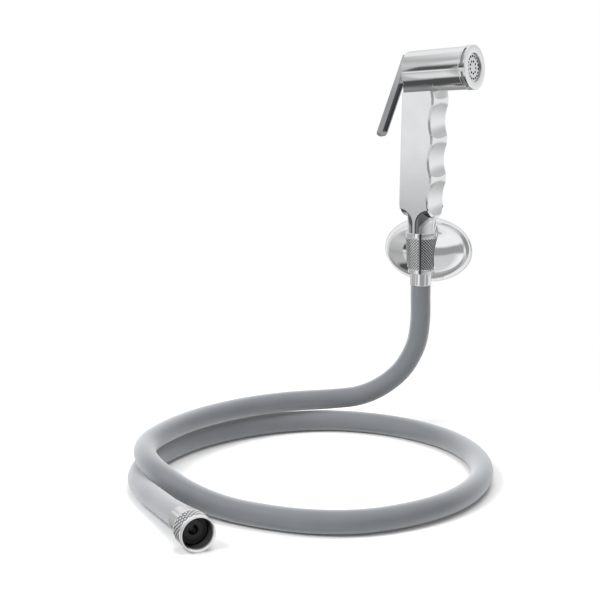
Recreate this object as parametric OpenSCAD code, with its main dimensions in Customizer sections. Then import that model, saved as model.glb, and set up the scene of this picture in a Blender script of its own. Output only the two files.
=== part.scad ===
// Handheld bidet shower: a trigger handset hung in its wall holder, with its hose.
// Millimetres. The origin is the middle of the holder's wall face. +Z is up, the wall is
// the plane y = 0, and the room is on the -Y side.

/* [Wall holder] */
// Width of the oval wall plate
plate_w = 68; // [60:1:80]
// Height of the oval wall plate
plate_h = 49; // [42:1:60]
// Thickness of the wall plate
plate_t = 3; // [2:0.5:5]
// How far the dome's foot stands in from the plate's rim
dome_inset = 3; // [2:0.5:5]
// Height of the dome above the wall plate
dome_rise = 22; // [19:0.5:28]
// Distance from the wall to the middle of the cone socket
socket_out = 21; // [20:0.5:24]
// Width of the slot that the hose passes through
slot_w = 21.2; // [17:0.2:23]
// Play between the cone nut and its socket
socket_play = 0.15; // [0.1:0.05:0.5]
// Distance between the two wall screws
screw_pitch = 28; // [22:1:34]
// Diameter of the wall screw holes
screw_hole_d = 4.5; // [3.5:0.1:5]

/* [Cone nut] */
// Wall of the cone nut round the neck's thread
nut_wall = 1.5; // [1.3:0.1:2]
// Wall of the cone nut round the ferrule
nut_foot_wall = 1.6; // [1.3:0.1:2.4]
// Height of the knurled cone
nut_cone_h = 23.8; // [20:0.2:30]
// Height of the plain collar above the knurl
nut_collar_h = 3.8; // [2:0.2:6]
// Height of the plain band below the knurl
nut_band_h = 3.1; // [2:0.1:5]
// Height of the nut's top edge above the origin
nut_top_z = 16; // [12:0.5:20]

/* [Handle] */
// Turn of the handset about the cone nut
handset_turn = -13; // [-60:1:60]
// Depth of the handle from back to front
handle_depth = 26.4; // [24:0.2:32]
// Width of the handle from side to side
handle_w = 24.8; // [23:0.2:30]
// Lean of the handle towards the spray
handle_lean = 1; // [0:0.5:3]
// Height of the handle's square shoulder above the origin
shoulder_z = 34; // [30:0.5:38]
// Chamfer along the handle's four long edges
edge_chamfer = 1.3; // [0.5:0.1:2]
// Radius of the finger scallops
scallop_r = 30; // [24:1:40]
// Depth of a finger scallop at its middle
scallop_deep = 2.85; // [1.5:0.05:3.5]
// How much shallower a scallop is at the handle's sides
scallop_crown = 0.65; // [0.2:0.05:1]
// Distance from one scallop to the next
scallop_pitch = 28.6; // [26:0.2:31]
// Height of the lowest scallop above the shoulder
scallop_first = 8.2; // [6:0.2:12]
// Diameter of the threaded neck
neck_d = 20.8; // [20:0.1:21]
// Width of the thin spine that runs down each side of the neck
spine_w = 2.2; // [1.5:0.1:4]
// Radius of the coves beside the spine
cove_r = 11; // [8:0.5:12]
// Diameter of the waterway in the handle
waterway_d = 6.4; // [5:0.2:6.8]

/* [Head] */
// Height of the barrel's axis above the origin
barrel_z = 134.7; // [128:0.5:145]
// Upward tilt of the barrel
barrel_tilt = 5; // [0:0.5:8]
// Bore of the barrel at the spray end
barrel_bore_d = 23; // [22:0.2:24]
// Wall of the barrel at the spray end
barrel_wall = 4; // [3.6:0.1:5]
// How much narrower the barrel is at its back
barrel_taper = 1; // [0:0.1:1.4]
// How far the barrel reaches behind the neck
barrel_back = 11; // [11:0.5:14]
// How far the barrel reaches in front of the neck
barrel_front = 36.6; // [34:0.2:44]
// How far the water chamber steps in from the barrel's bore
chamber_step = 0.7; // [0.6:0.05:1.2]
// How far the hinge carrier's bore steps out from the barrel's bore
carrier_step = 1; // [0.8:0.05:1.2]

/* [Spray cap] */
// How far the spray cap stands out round the barrel
cap_lip = 0.5; // [0.2:0.1:1.5]
// Length of the spray cap
cap_l = 5; // [4.6:0.1:7]
// How far the cap's face reaches in over the nozzle plate
window_lip = 3.1; // [2.4:0.1:4.4]
// Depth of the nozzle plate behind the cap's face
window_deep = 1.5; // [0.8:0.1:1.8]
// Number of slots round the cap
cap_slots = 5; // [3:1:8]
// Angle that each rib between the slots takes
cap_rib_angle = 16; // [10:1:24]
// Length of each slot along the cap
cap_slot_l = 2; // [1:0.1:2.2]
// Wall of the cap under its slots
cap_slot_wall = 0.9; // [0.6:0.1:1.2]
// Thickness of the nozzle plate
nozzle_t = 1; // [0.8:0.1:1.4]
// Number of jets in the outer ring
outer_jets = 18; // [10:1:20]
// Number of jets in the inner ring
inner_jets = 9; // [5:1:11]
// Diameter of a jet
jet_d = 1.5; // [0.8:0.1:1.7]
// Distance from the outer ring of jets to the edge of the opening
jet_margin = 2.2; // [1.6:0.1:2.6]
// Distance between the two rings of jets
jet_ring_gap = 3.7; // [3:0.1:4.4]

/* [Lever] */
// Width of the lever
lever_w = 10; // [8:0.2:12]
// Length of the lever below its pin
lever_l = 62; // [50:1:66]
// Thickness of the lever
lever_t = 3.6; // [3:0.1:4]
// Angle between the lever and a line square to the barrel
lever_angle = 25.7; // [24:0.1:30]
// Distance from the pin to the lever's inner face
lever_stand = 4.8; // [4.6:0.1:6]
// Diameter of the hinge pin
pin_d = 2; // [1.6:0.1:2.4]
// Height of the hinge pin above the barrel's axis
pin_up = 7; // [6.6:0.1:7.2]
// Running clearance of the hinge and the valve stem
running_play = 0.05; // [0.02:0.01:0.1]
// Width of the groove under the lever
groove_w = 7; // [4:0.2:7.4]
// Depth of the groove under the lever
groove_deep = 2; // [1:0.1:2.2]

/* [Valve] */
// Diameter of the valve stem
stem_d = 4; // [3:0.1:4.4]
// Diameter of the valve's rubber disc
seal_d = 11.2; // [10.6:0.1:12.6]
// Thickness of the valve's rubber disc
seal_t = 2.6; // [2:0.1:3.4]
// Diameter of the port through the valve seat
port_d = 9; // [7:0.1:9.2]
// Length of the cage that holds the spring
cage_l = 20; // [18:0.5:21]
// Mean diameter of the spring
spring_d = 9.6; // [7.4:0.1:11]
// Diameter of the spring wire
wire_d = 0.9; // [0.6:0.1:1.1]
// Turns of the spring
spring_turns = 6; // [4:1:7]

/* [Hose fittings] */
// Diameter of the crimped ferrules
ferrule_d = 16; // [15.8:0.1:16.2]
// Length of the ferrules
ferrule_l = 16; // [14:0.5:20]
// Bore through the hose tails
tail_bore_d = 6; // [4:0.2:7]
// Diameter of the tapping nut
tap_nut_d = 22.4; // [22:0.1:24]
// Length of the tapping nut
tap_nut_l = 15; // [14:0.5:20]
// Bore of the tapping nut's thread
tap_thread_d = 18.63; // [18.6:0.01:18.7]
// Depth of the knurls on both nuts
knurl_deep = 0.45; // [0.2:0.05:0.6]

/* [Hose] */
// Outside diameter of the hose
hose_d = 15; // [14:0.1:15.4]

/* [Hidden] */

$fn = 64;
CHROME = "gainsboro";
BRASS = "goldenrod";
STEEL = "silver";
PLASTIC = "whitesmoke";
RUBBER = "dimgray";
HOSE_GREY = "slategray";

FIT = 0.05;       // radial play of a pushed fit
SEAT_GAP = 0.2;   // play between the valve disc and its seat
OVER = 1;         // how far a cut runs past the face that it opens
THIN_WALL = 0.3;  // least wall under the knurl where the nut's thread ends
ferrule_play = 0.1;

// Sizes and levels of the cone nut and the neck
nut_top_d = neck_d + 2 * nut_wall;
nut_foot_d = ferrule_d + 2 * (ferrule_play + nut_foot_wall);
nut_h = nut_collar_h + nut_cone_h + nut_band_h;
nut_z = nut_top_z - nut_h;
cone_top_z = nut_top_z - nut_collar_h;
cone_foot_z = cone_top_z - nut_cone_h;
cone_slope = (nut_top_d - nut_foot_d) / 2 / nut_cone_h;
nut_step_z = cone_top_z - (nut_wall - FIT - knurl_deep - THIN_WALL) / cone_slope;
tail_flange_h = 2.4;
washer_h = 1.6;
neck_z = nut_step_z + tail_flange_h + washer_h;

// Diameters of the barrel, its bores and the cap
barrel_front_d = barrel_bore_d + 2 * barrel_wall;
barrel_back_d = barrel_front_d - barrel_taper;
chamber_d = barrel_bore_d - 2 * chamber_step;
carrier_d = barrel_bore_d + 2 * carrier_step;
spigot_wall = 1.9;
spigot_d = barrel_bore_d + 2 * spigot_wall;
cap_d = barrel_front_d + 2 * cap_lip;
cap_window_d = spigot_d - 2 * window_lip;
cap_slot_floor_d = spigot_d + 2 * cap_slot_wall;
outer_ring_d = cap_window_d - 2 * jet_margin;
inner_ring_d = outer_ring_d - 2 * jet_ring_gap;
insert_wall = 1.6;

// Levels along the barrel, measured forwards from the neck's axis
carrier_l = barrel_back - 3.5;
gasket_t = 0.5;
carrier_front = -barrel_back + carrier_l;
chamber_back = carrier_front + gasket_t;
seat_back = 5;
seat_t = 3;
seat_lip = 0.6;
seat_front = seat_back + seat_t;
disc_back = seat_front + seat_lip + SEAT_GAP;
flange_back = disc_back + seal_t;
flange_t = 1.5;
flange_front = flange_back + flange_t;
cage_wall = 2.5;
cage_front = seat_front + cage_l;
spigot_front = barrel_front + 1.8;
cap_front = barrel_front + cap_l;
plate_front = cap_front - window_deep;
plate_back = plate_front - nozzle_t;
stem_back = -barrel_back - 4.5;
pad_gap = 0.3;

// The lever's pin, in the plane of the barrel's axis
eye_r = 2.4;
pin_x = -barrel_back + 3.5;
pocket_x = pin_x + eye_r + 0.4;
lever_gap = 0.2;

// Hose route from the upper ferrule to the tapping nut, chosen to lie as it is shown:
// down from the nut, on top of its own first turn, round, and out under itself.
route = [[0, -21, -9], [0, -21, -30], [0, -21, -52], [-3, -22, -71], [-12, -26, -89],
         [-26, -31, -102], [-42, -38, -109.5], [-61, -47, -111.8], [-87, -65, -111.8],
         [-109, -88, -111.8], [-126, -117, -111.8], [-136, -147, -111.8],
         [-140, -177, -111.8], [-138, -205, -111.8], [-127, -229, -112.4],
         [-108, -248, -115.4], [-83, -260, -121.5], [-55, -267, -126], [-26, -271, -127],
         [5, -270, -127], [34, -259, -127], [58, -236, -127], [75, -206, -127],
         [82, -172, -127], [79, -137, -127], [65, -103, -127], [40, -74, -127],
         [8, -56, -127], [-27, -49, -127], [-62, -54, -127], [-94, -73, -127],
         [-118, -101, -127], [-134, -135, -127], [-141, -169, -127], [-141, -201, -127],
         [-131, -232, -127], [-113, -256, -126.6], [-93, -276, -125.6], [-74, -295, -124],
         [-56, -313, -123.4]];
hose_end = route[len(route) - 1];
hose_end_turn = -45;
hose_sides = 12;

function arc(cx, cy, r, a0, a1, n) =
    [for (i = [0:n]) let (a = a0 + (a1 - a0) * i / n) [cx + r * cos(a), cy + r * sin(a)]];

function oval(w, h, n) = [for (i = [0:n - 1]) [w / 2 * cos(360 * i / n), h / 2 * sin(360 * i / n)]];

function unit(v) = v / norm(v);

// Places a child on the handset's own axes: X towards the spray, Z up the neck.
module on_handset() {
    translate([0, -socket_out, 0]) rotate([0, 0, handset_turn]) children();
}

// The same, tilted with the barrel and centred on its axis.
module on_barrel() {
    on_handset() translate([0, 0, barrel_z]) rotate([0, -barrel_tilt, 0]) children();
}

// Stands a child on the barrel's axis, so that its Z runs forwards.
module along_barrel() {
    on_barrel() rotate([0, 90, 0]) children();
}

// Places a child at the end of the hose, so that its Z runs out of it.
module at_hose_end() {
    translate(hose_end) rotate([0, 0, hose_end_turn]) rotate([0, 90, 0]) children();
}

// Turns an outline drawn in X and Z into a plate of width w across Y.
module side_plate(w) {
    rotate([90, 0, 0]) linear_extrude(height = w, center = true) children();
}

module ring(r_in, r_out, z0, z1) {
    translate([0, 0, z0]) difference() {
        cylinder(r = r_out, h = z1 - z0);
        translate([0, 0, -OVER]) cylinder(r = r_in, h = z1 - z0 + 2 * OVER);
    }
}

module rod(r, z0, z1) {
    translate([0, 0, z0]) cylinder(r = r, h = z1 - z0);
}

// Wall holder

boss_w = plate_w - 28;
boss_h = plate_h - 23;
boss_t = 4;
boss_play = 0.2;
sink_h = 2;       // depth of the countersinks
grub_d = 3;

module holder_base() {
    color(CHROME) difference() {
        rotate([90, 0, 0]) {
            linear_extrude(height = plate_t) polygon(oval(plate_w, plate_h, 96));
            linear_extrude(height = plate_t + boss_t) polygon(oval(boss_w, boss_h, 48));
        }
        for (side = [-1, 1]) translate([side * screw_pitch / 2, 0, 0]) rotate([90, 0, 0]) {
            rod(screw_hole_d / 2, -OVER, plate_t + boss_t + OVER);
            translate([0, 0, plate_t + boss_t - sink_h])
                cylinder(r1 = screw_hole_d / 2, r2 = screw_hole_d / 2 + sink_h, h = sink_h + 0.01);
        }
    }
}

dome_foot = 3;
dome_rings = 11;
dome_sides = 64;

// A short upright foot below a half ellipsoid, drawn on X and Z and rising towards -Y.
module dome() {
    a = plate_w / 2 - dome_inset;
    b = plate_h / 2 - dome_inset;
    cap_rise = dome_rise - dome_foot;
    function at(u, v) =
        let (a_up = 90 * (u - 1) / (dome_rings - 1),
             lift = u == 0 ? 0 : dome_foot + cap_rise * sin(a_up),
             pull = u == 0 ? 1 : cos(a_up))
        [a * pull * cos(360 * v / dome_sides), -plate_t - lift, b * pull * sin(360 * v / dome_sides)];
    points = concat([for (u = [0:dome_rings - 1], v = [0:dome_sides - 1]) at(u, v)],
                    [[0, -plate_t - dome_rise, 0]]);
    tip = dome_rings * dome_sides;
    walls = [for (u = [0:dome_rings - 2], v = [0:dome_sides - 1])
        let (w = (v + 1) % dome_sides, k = u * dome_sides)
        [k + v, k + w, k + dome_sides + w, k + dome_sides + v]];
    top = [for (v = [0:dome_sides - 1])
        let (w = (v + 1) % dome_sides, k = (dome_rings - 1) * dome_sides) [k + v, k + w, tip]];
    foot = [[for (v = [dome_sides - 1:-1:0]) v]];
    polyhedron(points = points, faces = concat(walls, top, foot));
}

function socket_r(z) = nut_top_d / 2 + socket_play + (z - cone_top_z) * cone_slope;

module holder_hook() {
    tall = plate_h;
    flare_z = cone_top_z + 2;
    color(CHROME) difference() {
        dome();
        translate([0, -socket_out, 0]) {
            rod(socket_r(cone_foot_z), -tall / 2, cone_foot_z + 0.01);
            translate([0, 0, cone_foot_z]) cylinder(r1 = socket_r(cone_foot_z),
                                                    r2 = socket_r(tall / 2), h = tall / 2 - cone_foot_z);
            translate([0, 0, flare_z])
                cylinder(r1 = socket_r(flare_z), r2 = socket_r(flare_z) + 6, h = tall / 2 - flare_z);
            translate([-slot_w / 2, -tall, -tall / 2]) cube([slot_w, tall, tall]);
        }
        rotate([90, 0, 0]) linear_extrude(height = plate_t + boss_t + boss_play)
            polygon(oval(boss_w + 2 * boss_play, boss_h + 2 * boss_play, 48));
        translate([0, -plate_t - boss_t / 2, -plate_h / 2]) cylinder(d = grub_d + 2 * FIT, h = plate_h / 2);
    }
}

module holder_grub_screw() {
    foot_z = -plate_h / 2 + dome_inset + 0.3;
    color(STEEL) translate([0, -plate_t - boss_t / 2, 0]) difference() {
        rod(grub_d / 2, foot_z, -boss_h / 2 - 0.1);
        translate([0, 0, foot_z - OVER]) cylinder(d = 1.7, h = 1.5 + OVER, $fn = 6);
    }
}

// Handset body

slab_low_z = shoulder_z + 5.5;

module scallop_cutter() {
    half = handle_w / 2;
    flat = half - edge_chamfer;
    crown = [for (i = [-6:6]) [scallop_r - scallop_crown * pow(i / 6, 2), flat * i / 6]];
    side = scallop_r - scallop_crown + edge_chamfer * (1 + OVER);
    rotate([90, 0, 0]) rotate_extrude($fn = 96)
        polygon(concat([[0, -half - edge_chamfer * OVER], [side, -half - edge_chamfer * OVER]],
                       crown,
                       [[side, half + edge_chamfer * OVER], [0, half + edge_chamfer * OVER]]));
}

// The square part of the handle, leaning about the middle of its shoulder.
module handle_slab() {
    half_x = handle_depth / 2;
    half_y = handle_w / 2;
    c = edge_chamfer;
    foot_z = slab_low_z - half_y;
    translate([0, 0, shoulder_z]) rotate([0, handle_lean, 0]) translate([0, 0, -shoulder_z]) difference() {
        intersection() {
            translate([0, 0, foot_z]) linear_extrude(height = barrel_z - foot_z)
                polygon([[-half_x + c, -half_y], [half_x - c, -half_y], [half_x, -half_y + c],
                         [half_x, half_y - c], [half_x - c, half_y], [-half_x + c, half_y],
                         [-half_x, half_y - c], [-half_x, -half_y + c]]);
            union() {
                translate([-handle_depth, 0, slab_low_z]) rotate([0, 90, 0])
                    cylinder(r = half_y + 0.01, h = 2 * handle_depth);
                translate([-handle_depth, -handle_w, slab_low_z])
                    cube([2 * handle_depth, 2 * handle_w, barrel_z]);
            }
        }
        for (i = [0:3]) translate([half_x + scallop_r - scallop_deep, 0,
                                   shoulder_z + scallop_first + i * scallop_pitch]) scallop_cutter();
    }
}

// The flat side of the handle drawn in to a thin spine by two coves.
module side_spines() {
    half = spine_w / 2;
    side_plate(handle_w)
        polygon(concat([[half, nut_top_z], [half, shoulder_z - cove_r]],
                       arc(half + cove_r, shoulder_z - cove_r, cove_r, 180, 90, 12),
                       [[half + cove_r, slab_low_z + 6], [-half - cove_r, slab_low_z + 6]],
                       arc(-half - cove_r, shoulder_z - cove_r, cove_r, 90, 0, 12),
                       [[-half, shoulder_z - cove_r], [-half, nut_top_z]]));
}

// The round neck, opening in a cove under the handle.
module neck() {
    r = neck_d / 2;
    flare = handle_w / 2 - r;
    rod(r, neck_z, slab_low_z);
    rotate_extrude() polygon(concat([[0, shoulder_z - cove_r]],
                                    [for (i = [0:8]) [r + flare * (1 - cos(90 * i / 8)),
                                                      shoulder_z - cove_r + cove_r * sin(90 * i / 8)]],
                                    [[r + flare, slab_low_z], [0, slab_low_z]]));
}

module handset_body() {
    color(CHROME) difference() {
        union() {
            on_handset() {
                handle_slab();
                side_spines();
                neck();
            }
            along_barrel() {
                translate([0, 0, -barrel_back])
                    cylinder(d1 = barrel_back_d, d2 = barrel_front_d, h = barrel_back + barrel_front);
                rod(spigot_d / 2, barrel_front, spigot_front);
            }
        }
        along_barrel() {
            rod(carrier_d / 2, -barrel_back - OVER, chamber_back);
            rod(chamber_d / 2, chamber_back - FIT, seat_back);
            rod(barrel_bore_d / 2, seat_back - FIT, spigot_front + OVER);
        }
        on_handset() rod(waterway_d / 2, neck_z - OVER, barrel_z);
    }
}

// Lever and hinge

// The lever's side outline: down its length in X, outwards from the pin in Y.
module lever_outline() {
    end_r = lever_t / 2;
    union() {
        circle(r = eye_r);
        translate([-eye_r, 0]) square([2 * eye_r, lever_stand + lever_t / 2]);
        translate([-eye_r, lever_stand]) square([lever_l + eye_r - end_r, lever_t]);
        translate([lever_l - end_r, lever_stand + end_r]) circle(r = end_r);
    }
}

// Stands the lever's axes on the barrel: X down the lever, Y out of its back.
module on_lever() {
    on_barrel() translate([pin_x, 0, pin_up]) rotate([90, 0, 0])
        rotate([0, 0, 270 - lever_angle]) mirror([0, 1, 0]) children();
}

pad_x = stem_back - pad_gap;
pad_l = 3;
pad_w = stem_d + 2;
groove_end = 4.2;
groove_from = pin_up / cos(lever_angle) + pad_l + pad_w + 2;

module lever() {
    color(CHROME) difference() {
        union() {
            on_lever() linear_extrude(height = lever_w, center = true) lever_outline();
            on_barrel() translate([pad_x - pad_l, -pad_w / 2, -pad_w / 2]) cube([pad_l, pad_w, pad_w]);
        }
        on_lever() {
            cylinder(d = pin_d + 2 * running_play, h = 2 * lever_w, center = true);
            translate([groove_from, lever_stand - OVER, -groove_w / 2])
                cube([lever_l - groove_end - groove_from, groove_deep + OVER, groove_w]);
        }
    }
}

// The pin's ends stay inside the hinge carrier, where it is narrowest across them.
pin_half = sqrt(pow(carrier_d / 2 - 0.6, 2) - pow(pin_up + pin_d / 2, 2));

module lever_pin() {
    color(STEEL) on_barrel() translate([pin_x, 0, pin_up]) rotate([90, 0, 0])
        cylinder(d = pin_d, h = 2 * pin_half, center = true);
}

gland_t = 1.2;
o_ring_wire = 1.5;
gland_d = stem_d + 2 * o_ring_wire + 0.2;

module hinge_carrier() {
    slot = lever_w + 2 * lever_gap;
    tall = carrier_d / 2;
    low = pin_up - eye_r - lever_gap;
    color(BRASS) difference() {
        along_barrel() rod(carrier_d / 2 - FIT, -barrel_back + 0.3, carrier_front);
        on_barrel() {
            translate([-barrel_back - OVER, -slot / 2, low])
                cube([pocket_x + barrel_back + OVER, slot, tall]);
            translate([pin_x, 0, pin_up]) rotate([90, 0, 0])
                cylinder(d = pin_d + 0.02, h = 2 * carrier_d, center = true);
        }
        along_barrel() {
            rod(stem_d / 2 + running_play, -barrel_back - OVER, carrier_front + OVER);
            rod(gland_d / 2, carrier_front - gland_t - o_ring_wire - 0.2, carrier_front + OVER);
        }
    }
}

module carrier_gasket() {
    color(RUBBER) along_barrel() ring(chamber_d / 2, carrier_d / 2 - FIT, carrier_front, chamber_back);
}

module stem_o_ring() {
    r = o_ring_wire / 2;
    color(RUBBER) along_barrel() translate([0, 0, carrier_front - gland_t - r - 0.1])
        rotate_extrude() translate([stem_d / 2 + 0.02 + r, 0]) circle(r = r, $fn = 24);
}

module stem_gland() {
    color(BRASS) along_barrel()
        ring(stem_d / 2 + running_play, gland_d / 2 - FIT, carrier_front - gland_t, carrier_front);
}

// Valve

module valve_stem() {
    nose = 0.8;
    color(BRASS) along_barrel() {
        rod(stem_d / 2, stem_back + nose, cage_front - 1);
        translate([0, 0, stem_back]) cylinder(r1 = stem_d / 2 - nose, r2 = stem_d / 2, h = nose);
        rod(seal_d / 2 + 0.2, flange_back, flange_front);
    }
}

module valve_disc() {
    color(RUBBER) along_barrel() ring(stem_d / 2, seal_d / 2, disc_back, flange_back);
}

module valve_seat() {
    color(BRASS) along_barrel() difference() {
        union() {
            rod(barrel_bore_d / 2 - FIT, seat_back, seat_front);
            rod(port_d / 2 + 0.8, seat_front, seat_front + seat_lip);
        }
        rod(port_d / 2, seat_back - OVER, seat_front + seat_lip + OVER);
    }
}

module spring_cage() {
    r_out = barrel_bore_d / 2 - FIT;
    r_in = r_out - insert_wall;
    wall_back = cage_front - cage_wall;
    drain_r = 1.4;
    color(PLASTIC) along_barrel() difference() {
        rod(r_out, seat_front, cage_front);
        rod(r_in, seat_front - OVER, wall_back);
        rod(stem_d / 2 + running_play, wall_back - OVER, cage_front + OVER);
        for (i = [0:5]) rotate([0, 0, 60 * i]) translate([r_in - drain_r - 0.6, 0, wall_back - OVER])
            cylinder(r = drain_r, h = cage_wall + 2 * OVER, $fn = 24);
    }
}

// A coil swept round the barrel's axis between the stem's flange and the cage's wall.
module valve_spring() {
    sides = 8;
    steps = 14 * spring_turns;
    r = spring_d / 2;
    first = flange_front + wire_d / 2 + 0.05;
    last = cage_front - cage_wall - wire_d / 2 - 0.05;
    function at(i, j) = let (a = 360 * spring_turns * i / steps, t = 360 * j / sides,
                             q = r + wire_d / 2 * cos(t))
        [q * cos(a), q * sin(a), first + (last - first) * i / steps + wire_d / 2 * sin(t)];
    color(STEEL) along_barrel() polyhedron(
        points = [for (i = [0:steps], j = [0:sides - 1]) at(i, j)],
        faces = concat([[for (j = [0:sides - 1]) j]],
                       [for (i = [0:steps - 1], j = [0:sides - 1])
                        let (k = (j + 1) % sides)
                        [i * sides + j, (i + 1) * sides + j, (i + 1) * sides + k, i * sides + k]],
                       [[for (j = [sides - 1:-1:0]) steps * sides + j]]));
}

// A cup that straightens the water behind the nozzle plate.
module spray_insert() {
    r_out = barrel_bore_d / 2 - FIT;
    r_in = r_out - insert_wall;
    mesh_t = 1.4;
    mesh_z = plate_back - mesh_t - 1.8;
    hole_r = 0.9;
    color(PLASTIC) along_barrel() difference() {
        rod(r_out, cage_front, plate_back);
        rod(r_in, cage_front - OVER, mesh_z);
        rod(r_in, mesh_z + mesh_t, plate_back + OVER);
        for (row = [[r_in / 3, 6], [r_in * 2 / 3, 13]], i = [1:row[1]]) rotate([0, 0, 360 * i / row[1]])
            translate([row[0], 0, mesh_z - OVER])
                cylinder(r = hole_r, h = mesh_t + 2 * OVER, $fn = 16);
    }
}

module cap_gasket() {
    color(RUBBER) along_barrel() ring(barrel_bore_d / 2 + 0.1, spigot_d / 2 - 0.1, spigot_front, plate_back);
}

module nozzle_plate() {
    color(STEEL) along_barrel() difference() {
        rod(spigot_d / 2 - 0.2, plate_back, plate_front);
        for (i = [0:outer_jets - 1]) rotate([0, 0, 360 * i / outer_jets])
            translate([outer_ring_d / 2, 0, plate_back - OVER])
                cylinder(d = jet_d, h = nozzle_t + 2 * OVER, $fn = 20);
        for (i = [0:inner_jets - 1]) rotate([0, 0, 360 * i / inner_jets])
            translate([inner_ring_d / 2, 0, plate_back - OVER])
                cylinder(d = jet_d, h = nozzle_t + 2 * OVER, $fn = 20);
    }
}

// The castellated cap: a ring groove broken by ribs, between a back lip and the face.
module spray_cap() {
    slot_angle = 360 / cap_slots - cap_rib_angle;
    slot_z = cap_front - 1.4 - cap_slot_l;
    bevel = 0.5;
    color(CHROME) along_barrel() difference() {
        rotate_extrude($fn = 96)
            polygon([[spigot_d / 2 + FIT, barrel_front], [cap_d / 2 - bevel / 2, barrel_front],
                     [cap_d / 2, barrel_front + bevel / 2], [cap_d / 2, cap_front - bevel],
                     [cap_d / 2 - bevel, cap_front], [cap_window_d / 2 + bevel, cap_front],
                     [cap_window_d / 2, cap_front - bevel], [cap_window_d / 2, plate_front],
                     [spigot_d / 2 + FIT, plate_front]]);
        for (i = [0:cap_slots - 1])
            rotate([0, 0, -90 + cap_rib_angle / 2 + 360 / cap_slots * i]) translate([0, 0, slot_z])
                rotate_extrude(angle = slot_angle, $fn = 96)
                    translate([cap_slot_floor_d / 2, 0]) square([cap_d, cap_slot_l]);
    }
}

// Cone nut and the hose fittings

knurl_around = 56;
knurl_row_h = 1.35;

// A knurled barrel: rows of small peaks, every other one raised, between radii r0 and r1.
module knurled(r0, r1, h) {
    around = knurl_around;
    rows = round(h / knurl_row_h);
    function peak(i, j) = (i + j) % 2 == 0 && j > 0 && j < rows ? 0 : -knurl_deep;
    function at(i, j) = let (a = 360 * i / around, r = r0 + (r1 - r0) * j / rows + peak(i, j))
        [r * cos(a), r * sin(a), h * j / rows];
    polyhedron(
        points = [for (j = [0:rows], i = [0:around - 1]) at(i, j)],
        faces = concat([[for (i = [0:around - 1]) i]],
                       [for (j = [0:rows - 1], i = [0:around - 1])
                        let (k = (i + 1) % around, low = j * around, high = low + around)
                        (i + j) % 2 == 0 ? [low + i, high + k, low + k] : [low + i, high + i, low + k]],
                       [for (j = [0:rows - 1], i = [0:around - 1])
                        let (k = (i + 1) % around, low = j * around, high = low + around)
                        (i + j) % 2 == 0 ? [low + i, high + i, high + k] : [low + k, high + i, high + k]],
                       [[for (i = [around - 1:-1:0]) rows * around + i]]));
}

module cone_nut() {
    top_r = nut_top_d / 2;
    foot_r = nut_foot_d / 2;
    color(CHROME) translate([0, -socket_out, 0]) difference() {
        union() {
            translate([0, 0, nut_z]) cylinder(r1 = foot_r - 0.3, r2 = foot_r, h = 0.5);
            rod(foot_r, nut_z + 0.5, cone_foot_z);
            translate([0, 0, cone_foot_z]) knurled(foot_r, top_r, nut_cone_h);
            rod(top_r, cone_top_z, nut_top_z - 0.5);
            translate([0, 0, nut_top_z - 0.5]) cylinder(r1 = top_r, r2 = top_r - 0.4, h = 0.5);
        }
        rod(neck_d / 2 + FIT, nut_step_z, nut_top_z + OVER);
        rod(ferrule_d / 2 + ferrule_play, nut_z - OVER, nut_step_z + OVER);
    }
}

module cone_nut_washer() {
    color(RUBBER) translate([0, -socket_out, 0])
        ring(tail_bore_d / 2 + 1, neck_d / 2 - 0.3, nut_step_z + tail_flange_h, neck_z);
}

// A hose tail: flange, shank and barb, drawn with its flange's front face at z = 0.
module hose_tail(flange_d, flange_h, shank_d, shank_l) {
    barb_l = ferrule_l;
    barb_r = hose_d / 2 - 3;
    difference() {
        union() {
            rod(flange_d / 2, -flange_h, 0);
            rod(shank_d / 2, -flange_h - shank_l, -flange_h);
            for (i = [0:3]) translate([0, 0, -flange_h - shank_l - barb_l * (i + 1) / 4])
                cylinder(r1 = barb_r - 0.7, r2 = barb_r, h = barb_l / 4);
        }
        rod(tail_bore_d / 2, -flange_h - shank_l - barb_l - OVER, OVER);
    }
}

// A crimped sleeve with a turned-in lip, the hose's end face at z = 0 and the hose below.
module ferrule(shank_d) {
    lip = 1;
    color(CHROME) difference() {
        union() {
            rod(ferrule_d / 2, -ferrule_l + lip + 0.5, lip);
            translate([0, 0, -ferrule_l + lip])
                cylinder(r1 = ferrule_d / 2 - 0.2, r2 = ferrule_d / 2, h = 0.5);
        }
        rod(hose_d / 2, -ferrule_l, 0);
        rod(shank_d / 2 + FIT, -OVER, lip + OVER);
    }
}

upper_shank_d = 12.6;
lower_shank_d = 13;
hose_top_z = route[0][2];

module upper_hose_tail() {
    color(BRASS) translate([0, -socket_out, nut_step_z + tail_flange_h])
        hose_tail(neck_d - 1, tail_flange_h, upper_shank_d, nut_step_z - hose_top_z);
}

module upper_ferrule() {
    translate([0, -socket_out, hose_top_z]) ferrule(upper_shank_d);
}

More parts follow.
